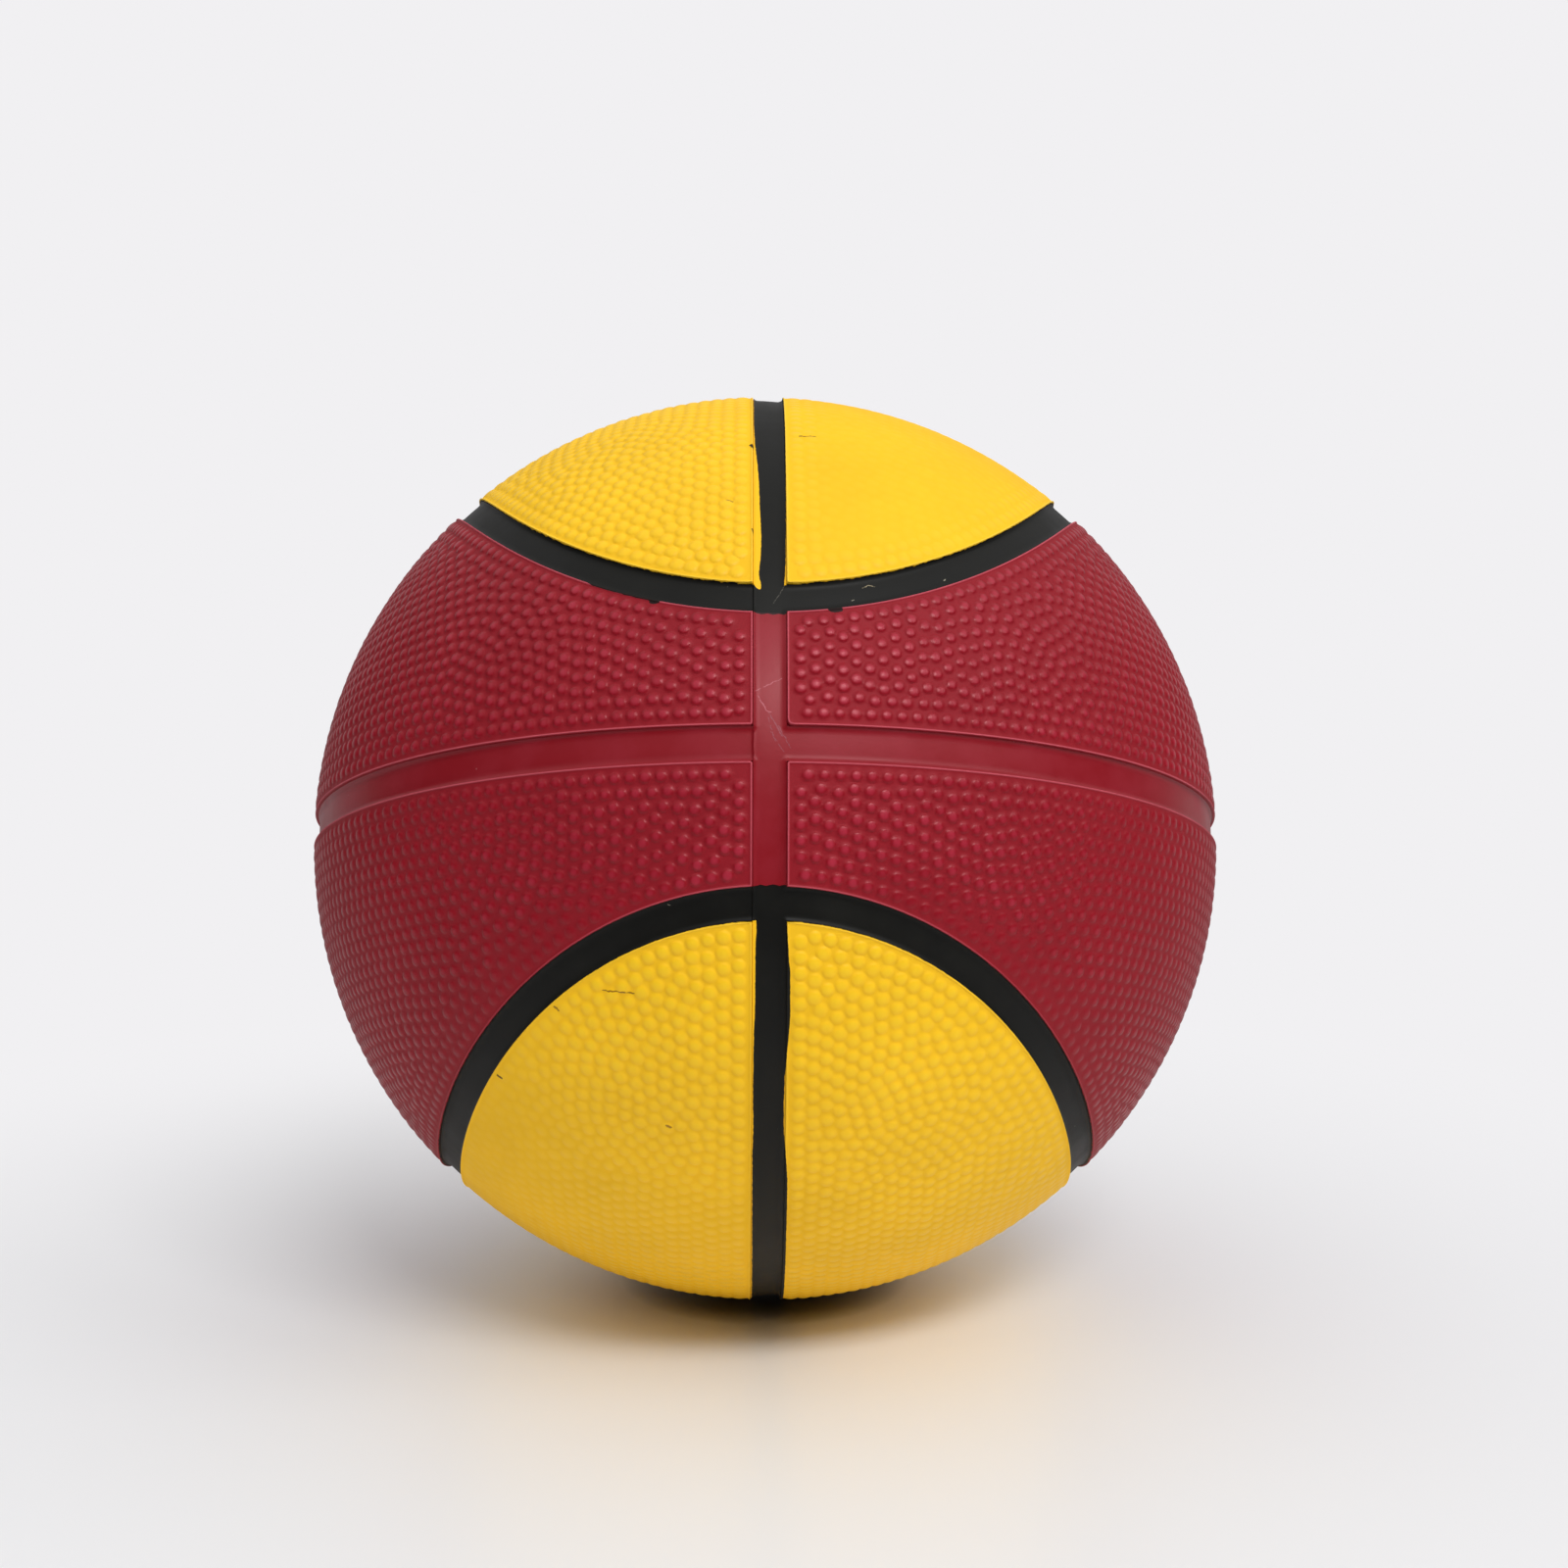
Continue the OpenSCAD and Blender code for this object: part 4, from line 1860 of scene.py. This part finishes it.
@dataclass
class UprightStrip(ChannelStrip):
    """A strip of the upright channel, between two ends given by functions of x.

    A strip with an end lies on that half of the ball, between the level channel and a curved
    one, and the curved one's black overruns it in a wavy line, whose wave turns through so many
    radians for each millimetre. A strip without one runs from front to back between the yellow
    panels.
    """

    level: Level = Level.UPPER
    end: Optional[End] = None
    overrun: float = 0.25
    wave_h: float = 0.12
    wave_turns: float = 3.1

    def loop_angle(self, across: np.ndarray, radius: float) -> np.ndarray:
        """Angle from the front at which a strip's line meets a curved channel's edge."""
        height = PATTERN.loop_z - np.sqrt(radius**2 - across**2)
        return np.arcsin(height / np.sqrt(1.0 - across**2))

    def grid(self) -> np.ndarray:
        """Lines along keep their x, from one end's angle to the other's.

        Returns:
            Unit vectors, lines along the strip by points across by three.
        """
        across = PATTERN.upright * (2.0 * self.share() - 1.0)
        if self.end is None:
            start = self.loop_angle(across, PATTERN.loop_in)
            stop = math.pi - start
        else:
            start = np.arcsin(PATTERN.level / np.sqrt(1.0 - across**2))
            stop = self.loop_angle(across, PATTERN.loop_out)
        length = float((stop - start).max()) * PATTERN.ball_r
        lines = self.lines(length, ()) / length
        angle = start + (stop - start) * lines[:, None]
        wide = np.sqrt(1.0 - across**2)
        points = np.stack(
            np.broadcast_arrays(across, -wide * np.cos(angle), wide * np.sin(angle)), axis=-1
        )
        back = -1 if self.end is End.BACK else 1
        return points * np.array([1, back, int(self.level)])

    def spill(self, points: np.ndarray) -> np.ndarray:
        """Yellow has run over the black strips' sides, and black over the maroon ones' ends.

        Args:
            points: Unit vectors in pattern axes.

        Returns:
            The distances in millimetres, below zero where the strip is bare.
        """
        if self.end is not None:
            inset = PATTERN.loop_distance(np.abs(points), PATTERN.loop_out)
            wave = self.wave_h * np.sin(points[..., 0] * self.wave_turns * PATTERN.ball_r)
            return self.overrun + wave - inset
        angle = np.degrees(np.arctan2(np.abs(points[..., 2]), -points[..., 1]))
        reach = np.full(angle.shape, -1.0)
        for side in Side:
            beside = (PATTERN.upright - int(side) * points[..., 0]) * PATTERN.ball_r
            wide = PAINT_EDGES[side, self.level].reach_at(angle) - beside
            reach = np.maximum(reach, wide)
        return reach


@dataclass
class LevelStrip(ChannelStrip):
    """Half of the level channel's strip, from the valve to the point opposite it."""

    end: End = End.FRONT
    gap: float = 0.05

    def grid(self) -> np.ndarray:
        """Lines along keep their z, from opposite the valve to the edge of its hole.

        Returns:
            Unit vectors, lines along the strip by points across by three.
        """
        height = PATTERN.level * (2.0 * self.share() - 1.0)
        wide = np.sqrt(1.0 - height**2)
        start = -np.arccos(self.gap / 2 / PATTERN.ball_r / wide)
        hole = PATTERN.hole_r / PATTERN.ball_r
        stop = np.arccos(np.sqrt(hole**2 - height**2) / wide)
        length = math.pi * PATTERN.ball_r
        # Closer lines where the upright channel crosses, and closest at its parting line
        middle = length / 2
        edge = middle - PATTERN.upright_w / 2
        fine = ((middle - 7.0, middle + 5.0, 0.2), (edge - 0.5, edge + 0.5, 0.05))
        lines = self.lines(length, fine) / length
        lon = start + (stop - start) * lines[:, None]
        points = np.stack(
            np.broadcast_arrays(wide * np.sin(lon), -wide * np.cos(lon), height), axis=-1
        )
        return points * np.array([1, -int(self.end), 1])


@dataclass
class NeedleValve:
    """The boot and the self-sealing core of the valve, on the pattern's +X axis.

    Faces, ends and the flange's top are distances from the ball's centre, in millimetres.
    """

    boot_r: float = 4.15
    cavity_r: float = 2.65
    core_r: float = 2.6
    needle_r: float = 1.2
    face: float = 88.7
    boot_end: float = 72.7
    core_face: float = 88.4
    core_end: float = 76.4
    needle_depth: float = 6.0
    rib_h: float = 0.4
    rib_w: float = 1.6
    flange_r: float = 11.0
    flange_top: float = 84.95
    flange_t: float = 1.2
    clearance: float = 0.05
    lip_drop: float = 0.5
    lip_h: float = 0.42
    segments: int = 96

    def rib(self, clearance: float) -> list[tuple[float, float]]:
        """The outline of the retaining rib, from its top down.

        Args:
            clearance: The gap that is left round it.

        Returns:
            Radii and heights.
        """
        plain = self.core_r + clearance
        low = self.core_end + self.rib_w - clearance
        high = self.core_end + 2 * self.rib_w + clearance
        return [
            (plain, high),
            (plain + self.rib_h, high - self.rib_h / 2),
            (plain + self.rib_h, low + self.rib_h / 2),
            (plain, low),
        ]

    def boot_outline(self) -> np.ndarray:
        """The boot's outline: neck, flange, rounded lip and the cavity for the core.

        Returns:
            Radii and heights.
        """
        flange_low = self.flange_top - self.flange_t
        outer = [
            (self.boot_r, self.boot_end),
            (self.boot_r, math.sqrt(flange_low**2 - self.boot_r**2)),
            (self.flange_r, math.sqrt(flange_low**2 - self.flange_r**2)),
            (self.flange_r, math.sqrt(self.flange_top**2 - self.flange_r**2)),
            (self.boot_r, math.sqrt(self.flange_top**2 - self.boot_r**2)),
            (self.boot_r, self.face - self.lip_drop),
        ]
        turn = np.linspace(0.0, math.pi, 13)
        middle = (self.boot_r + self.cavity_r) / 2
        half = (self.boot_r - self.cavity_r) / 2
        foot = self.face - self.lip_drop
        lip = [(middle + half * math.cos(t), foot + self.lip_h * math.sin(t)) for t in turn]
        cavity = self.rib(self.clearance) + [(self.cavity_r, self.boot_end)]
        return np.array(outer + lip[1:] + cavity)

    def core_outline(self) -> np.ndarray:
        """The core's outline from the edge of its inner end to the bottom of its hole.

        Returns:
            Radii and heights.
        """
        side = [(self.core_r, self.core_end)] + self.rib(0.0)[::-1]
        top = self.core_face
        # The crown is nearly flat, with a rounded edge outside and at the needle's hole
        crown = [
            (self.core_r, top - 0.35),
            (self.core_r - 0.08, top - 0.17),
            (self.core_r - 0.3, top - 0.07),
            (self.core_r - 0.7, top - 0.04),
            (self.needle_r + 0.32, top - 0.05),
            (self.needle_r + 0.12, top - 0.12),
            (self.needle_r, top - 0.32),
            (self.needle_r, top - self.needle_depth),
        ]
        return np.array(side + crown)

    def build(self, boot: Material, core: Material) -> None:
        """Builds the boot and the core, and lets each replace its CAD node.

        Args:
            boot: Material of the boot.
            core: Material of the core.
        """
        made = (
            ("valve_boot", self.boot_outline(), True, boot, VALVE_RUBBER.slot),
            ("valve_core", self.core_outline(), False, core, LATEX.slot),
        )
        for name, outline, ring, material, slot in made:
            points, faces = turned_body(outline, self.segments, ring)
            piece = make_piece(name, points, faces)
            piece.data.materials.append(material)
            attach(piece, "root")
            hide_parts(name)
            LOG.info("%s: %d faces", name, len(piece.data.polygons))


@dataclass
class InnerLayers:
    """The bladder, its patch, the winding and the carcass, which keep their CAD shapes."""

    finishes: dict[str, LayerFinish] = field(
        default_factory=lambda: {
            "bladder": BUTYL, "valve_patch": BUTYL, "winding": NYLON, "carcass": CARCASS_RUBBER
        }
    )

    def dress(self) -> None:
        """Gives each layer's CAD node its material."""
        made = {finish: finish.build() for finish in dict.fromkeys(self.finishes.values())}
        for name, finish in self.finishes.items():
            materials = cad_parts[name].data.materials
            materials.clear()
            materials.append(made[finish])
            LOG.info("%s: %s", name, finish.name)


@dataclass(frozen=True)
class Softbox:
    """A lamp: angles from the front and the level, size in metres and power in watts."""

    name: str
    azimuth: float
    elevation: float
    width: float
    height: float
    power: float


@dataclass
class Studio:
    """The pale floor, the soft light and the camera.

    Lengths are in metres, but for floor_z and for contact, the reach of the painted contact
    shadow, which are in millimetres. Between the two glow distances from glow_place the floor
    fades into the backdrop, and between the two heights of ceiling_rim the sky turns from dark to
    bright.
    """

    floor_z: float = -88.96
    floor_colour: str = "#E9EAEC"
    bounce_colour: str = "#F3F3F3"
    backdrop_colour: str = "#F1F0F2"
    mirrored_strength: float = 0.55
    floor_roughness: float = 0.36
    floor_sheen: float = 0.28
    contact: float = 5.0
    contact_shade: float = 0.04
    glow_place: tuple[float, float] = (0.0, -0.05)
    glow_distances: tuple[float, float] = (0.03, 0.3)
    sheet_size: float = 4.0
    front_edge: float = -0.5
    backdrop: float = 3.0
    bend: float = 1.2
    ceiling_rim: tuple[float, float] = (0.36, 0.58)
    ceiling_strength: float = 0.84
    dark_strength: float = 0.03
    lamp_distance: float = 3.0
    lamps: tuple[Softbox, ...] = (
        Softbox("key_softbox", azimuth=22.0, elevation=47.0, width=1.4, height=0.6, power=43.5),
        Softbox("side_softbox", azimuth=66.0, elevation=38.0, width=1.2, height=1.2, power=12.5),
    )
    camera_place: tuple[float, float, float] = (-0.00361, -0.4836, 0.07568)
    camera_turn: tuple[float, float, float] = (82.568, -0.279, -0.816)
    lens: float = 56.1

    def build(self) -> None:
        """Builds the stage in order."""
        self.add_floor()
        self.add_light()
        self.add_camera()

    def add_floor(self) -> None:
        """Lays a glossy sheet that curves up behind the ball.

        The sheet runs level to the bend, follows a quarter circle and then rises straight. It
        reaches sheet_size up, and as far to each side.
        """
        turn = np.linspace(0.0, math.pi / 2, 33)
        flat = np.array([[self.front_edge, 0.0], [0.0, 0.0], [1.0, 0.0]])
        curve = np.stack(
            [self.backdrop - self.bend + self.bend * np.sin(turn), self.bend * (1 - np.cos(turn))],
            axis=-1,
        )
        line = np.concatenate([flat, curve, [[self.backdrop, self.sheet_size]]])
        sides = np.array([-self.sheet_size, self.sheet_size])
        points = np.stack(
            np.broadcast_arrays(sides[None, :], line[:, :1], line[:, 1:] + self.floor_z * MM),
            axis=-1,
        ).reshape(-1, 3)
        number = np.arange(len(points)).reshape(-1, 2)
        faces = np.stack([number[:-1, 0], number[:-1, 1], number[1:, 1], number[1:, 0]], -1)
        mesh = bpy.data.meshes.new("floor")
        mesh.from_pydata(points.tolist(), [], faces.tolist())
        mesh.shade_smooth()
        floor = bpy.data.objects.new("floor", mesh)
        bpy.context.scene.collection.objects.link(floor)
        mesh.materials.append(self.floor_material())

    def floor_material(self) -> Material:
        """Coated white board: pale, with a soft and blurred reflection.

        Where the ball touches it, a small dark shadow is painted into the colour that the camera
        sees. Away from the ball it fades into an even, pale backdrop, which the camera sees bright
        and reflections dimmer.

        Returns:
            The material.
        """
        material = bpy.data.materials.new("coated_board_calendered_white")
        material.use_nodes = True
        tree = material.node_tree
        shader = tree.nodes["Principled BSDF"]
        rays = add_node(tree, "LightPath").outputs
        camera_ray = rays["Is Camera Ray"]
        # Painted contact shadow: the colour that the camera sees darkens where the ball hides the
        # sky
        open_sky = add_node(
            tree, "AmbientOcclusion", {"Distance": self.contact * MM}
        ).outputs["AO"]
        shade = add_node(
            tree, "MapRange", {"Value": open_sky, "To Min": self.contact_shade}
        ).outputs["Result"]
        shaded = add_node(
            tree,
            "VectorMath",
            {0: linear(self.floor_colour)[:3], "Scale": shade},
            operation="SCALE",
        ).outputs[0]
        colour = add_node(
            tree,
            "Mix",
            {0: camera_ray, 6: linear(self.bounce_colour), 7: shaded},
            data_type="RGBA",
        ).outputs[2]
        tree.links.new(colour, shader.inputs["Base Color"])
        shader.inputs["Roughness"].default_value = self.floor_roughness
        shader.inputs["Specular IOR Level"].default_value = self.floor_sheen
        strength = add_node(
            tree, "MapRange", {"Value": camera_ray, "To Min": self.mirrored_strength}
        ).outputs["Result"]
        glow = add_node(
            tree, "Emission", {"Color": linear(self.backdrop_colour), "Strength": strength}
        )
        seen = add_node(
            tree, "Math", {0: camera_ray, 1: rays["Is Glossy Ray"]}, operation="MAXIMUM"
        ).outputs[0]
        place = add_node(tree, "TexCoord").outputs["Object"]
        away = add_node(
            tree,
            "VectorMath",
            {0: place, 1: (*self.glow_place, self.floor_z * MM)},
            operation="DISTANCE",
        ).outputs["Value"]
        behind = add_node(
            tree,
            "MapRange",
            {
                "Value": away,
                "From Min": self.glow_distances[0],
                "From Max": self.glow_distances[1],
            },
            interpolation_type="SMOOTHSTEP",
        ).outputs["Result"]
        share = add_node(tree, "Math", {0: seen, 1: behind}, operation="MULTIPLY").outputs[0]
        mix = add_node(tree, "MixShader", {0: share, 1: shader.outputs[0], 2: glow.outputs[0]})
        tree.links.new(mix.outputs[0], tree.nodes["Material Output"].inputs["Surface"])
        return material

    def add_light(self) -> None:
        """Lights the ball with a wide pale ceiling, and with two softboxes.

        The ceiling's rim stands 21 to 35 degrees above the horizon, and the camera sees the
        backdrop's colour in its place. The softboxes stand at the front, to the right and above.
        """
        world = bpy.data.worlds.new("studio")
        bpy.context.scene.world = world
        world.use_nodes = True
        background = world.node_tree.nodes["Background"]
        tree = world.node_tree
        seen = add_node(tree, "LightPath").outputs["Is Camera Ray"]
        around = add_node(tree, "TexCoord").outputs["Generated"]
        height = add_node(tree, "SeparateXYZ", {0: around}).outputs["Z"]
        level = add_node(
            tree,
            "MapRange",
            {
                "Value": height,
                "From Min": self.ceiling_rim[0],
                "From Max": self.ceiling_rim[1],
                "To Min": self.dark_strength,
                "To Max": self.ceiling_strength,
            },
            interpolation_type="SMOOTHSTEP",
        ).outputs["Result"]
        strength = add_node(tree, "Mix", {0: seen, 2: level, 3: 1.0}).outputs[0]
        colour = add_node(
            tree,
            "Mix",
            {0: seen, 6: (1.0, 1.0, 1.0, 1.0), 7: linear(self.backdrop_colour)},
            data_type="RGBA",
        ).outputs[2]
        tree.links.new(strength, background.inputs["Strength"])
        tree.links.new(colour, background.inputs["Color"])
        for softbox in self.lamps:
            lift, turn = math.radians(softbox.elevation), math.radians(softbox.azimuth)
            level_part = math.cos(lift)
            towards = Vector(
                (level_part * math.sin(turn), -level_part * math.cos(turn), math.sin(lift))
            )
            data = bpy.data.lights.new(softbox.name, "AREA")
            data.shape = "RECTANGLE"
            data.size = softbox.width
            data.size_y = softbox.height
            data.energy = softbox.power
            lamp = bpy.data.objects.new(softbox.name, data)
            lamp.location = towards * self.lamp_distance
            lamp.rotation_euler = towards.to_track_quat("Z", "Y").to_euler()
            bpy.context.scene.collection.objects.link(lamp)

    def add_camera(self) -> None:
        """Sets the camera at the photograph's viewing angle."""
        data = bpy.data.cameras.new("camera")
        data.lens = self.lens
        data.sensor_width = 36.0
        data.clip_start = 0.01
        data.clip_end = 100.0
        camera = bpy.data.objects.new("camera", data)
        camera.location = self.camera_place
        camera.rotation_euler = Euler([math.radians(a) for a in self.camera_turn])
        bpy.context.scene.collection.objects.link(camera)
        bpy.context.scene.camera = camera
        bpy.context.scene.view_settings.view_transform = "Standard"


def cover_panels() -> list[CoverPanel]:
    """Lists the eight panels of the cover, each with its own seed and with its pebbles faded in its
    own way.

    Returns:
        The panels.
    """
    return [
        LoopPanel(Side.LEFT, Level.UPPER, seed=11, fade_aside=0.2, drowned=0.15),
        LoopPanel(Side.RIGHT, Level.UPPER, seed=12, fade_in=0.75, drowned=0.5),
        LoopPanel(Side.LEFT, Level.LOWER, seed=13, fade_aside=0.8, fade_low=0.45),
        LoopPanel(Side.RIGHT, Level.LOWER, seed=14, fade_aside=0.4, fade_low=0.3),
        SidePanel(Side.LEFT, Level.LOWER, seed=21, fade_loop=0.4, fade_aside=0.35),
        SidePanel(Side.RIGHT, Level.LOWER, seed=22, fade_loop=0.4, fade_aside=0.35),
        SidePanel(Side.LEFT, Level.UPPER, seed=23),
        SidePanel(Side.RIGHT, Level.UPPER, seed=24, corner_r=1.15),
    ]


def channel_strips() -> list[ChannelStrip]:
    """Lists the ten strips of the channels.

    Returns:
        The strips.
    """
    return [
        LoopStrip("crown_loop_strip", BLACK_STRIP, level=Level.UPPER),
        LoopStrip("base_loop_strip", BLACK_STRIP, level=Level.LOWER),
        UprightStrip("crown_strip", BLACK_STRIP, level=Level.UPPER),
        UprightStrip("base_strip", BLACK_STRIP, level=Level.LOWER),
        UprightStrip("front_upper_strip", MAROON_STRIP, level=Level.UPPER, end=End.FRONT),
        UprightStrip("front_lower_strip", MAROON_STRIP, level=Level.LOWER, end=End.FRONT),
        UprightStrip("back_upper_strip", MAROON_STRIP, level=Level.UPPER, end=End.BACK),
        UprightStrip("back_lower_strip", MAROON_STRIP, level=Level.LOWER, end=End.BACK),
        LevelStrip("level_strip_front", MAROON_STRIP, end=End.FRONT),
        LevelStrip("level_strip_back", MAROON_STRIP, end=End.BACK),
    ]


def main() -> None:
    logging.basicConfig(level=logging.INFO, format="%(name)s %(message)s", stream=sys.stdout)
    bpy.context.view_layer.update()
    finishes = {f.slot: f for f in (YELLOW_COVER, MAROON_COVER, BLACK_STRIP, MAROON_STRIP)}
    materials = {slot: finish.build() for slot, finish in finishes.items()}
    for panel in cover_panels():
        piece = panel.build(materials[panel.finish.slot])
        LOG.info("%s: %d faces", piece.name, len(piece.data.polygons))
    for strip in channel_strips():
        piece = strip.build(materials[strip.finish.slot])
        LOG.info("%s: %d faces", piece.name, len(piece.data.polygons))
    NeedleValve().build(VALVE_RUBBER.build(), LATEX.build())
    InnerLayers().dress()
    Studio().build()


if __name__ == "__main__":
    main()
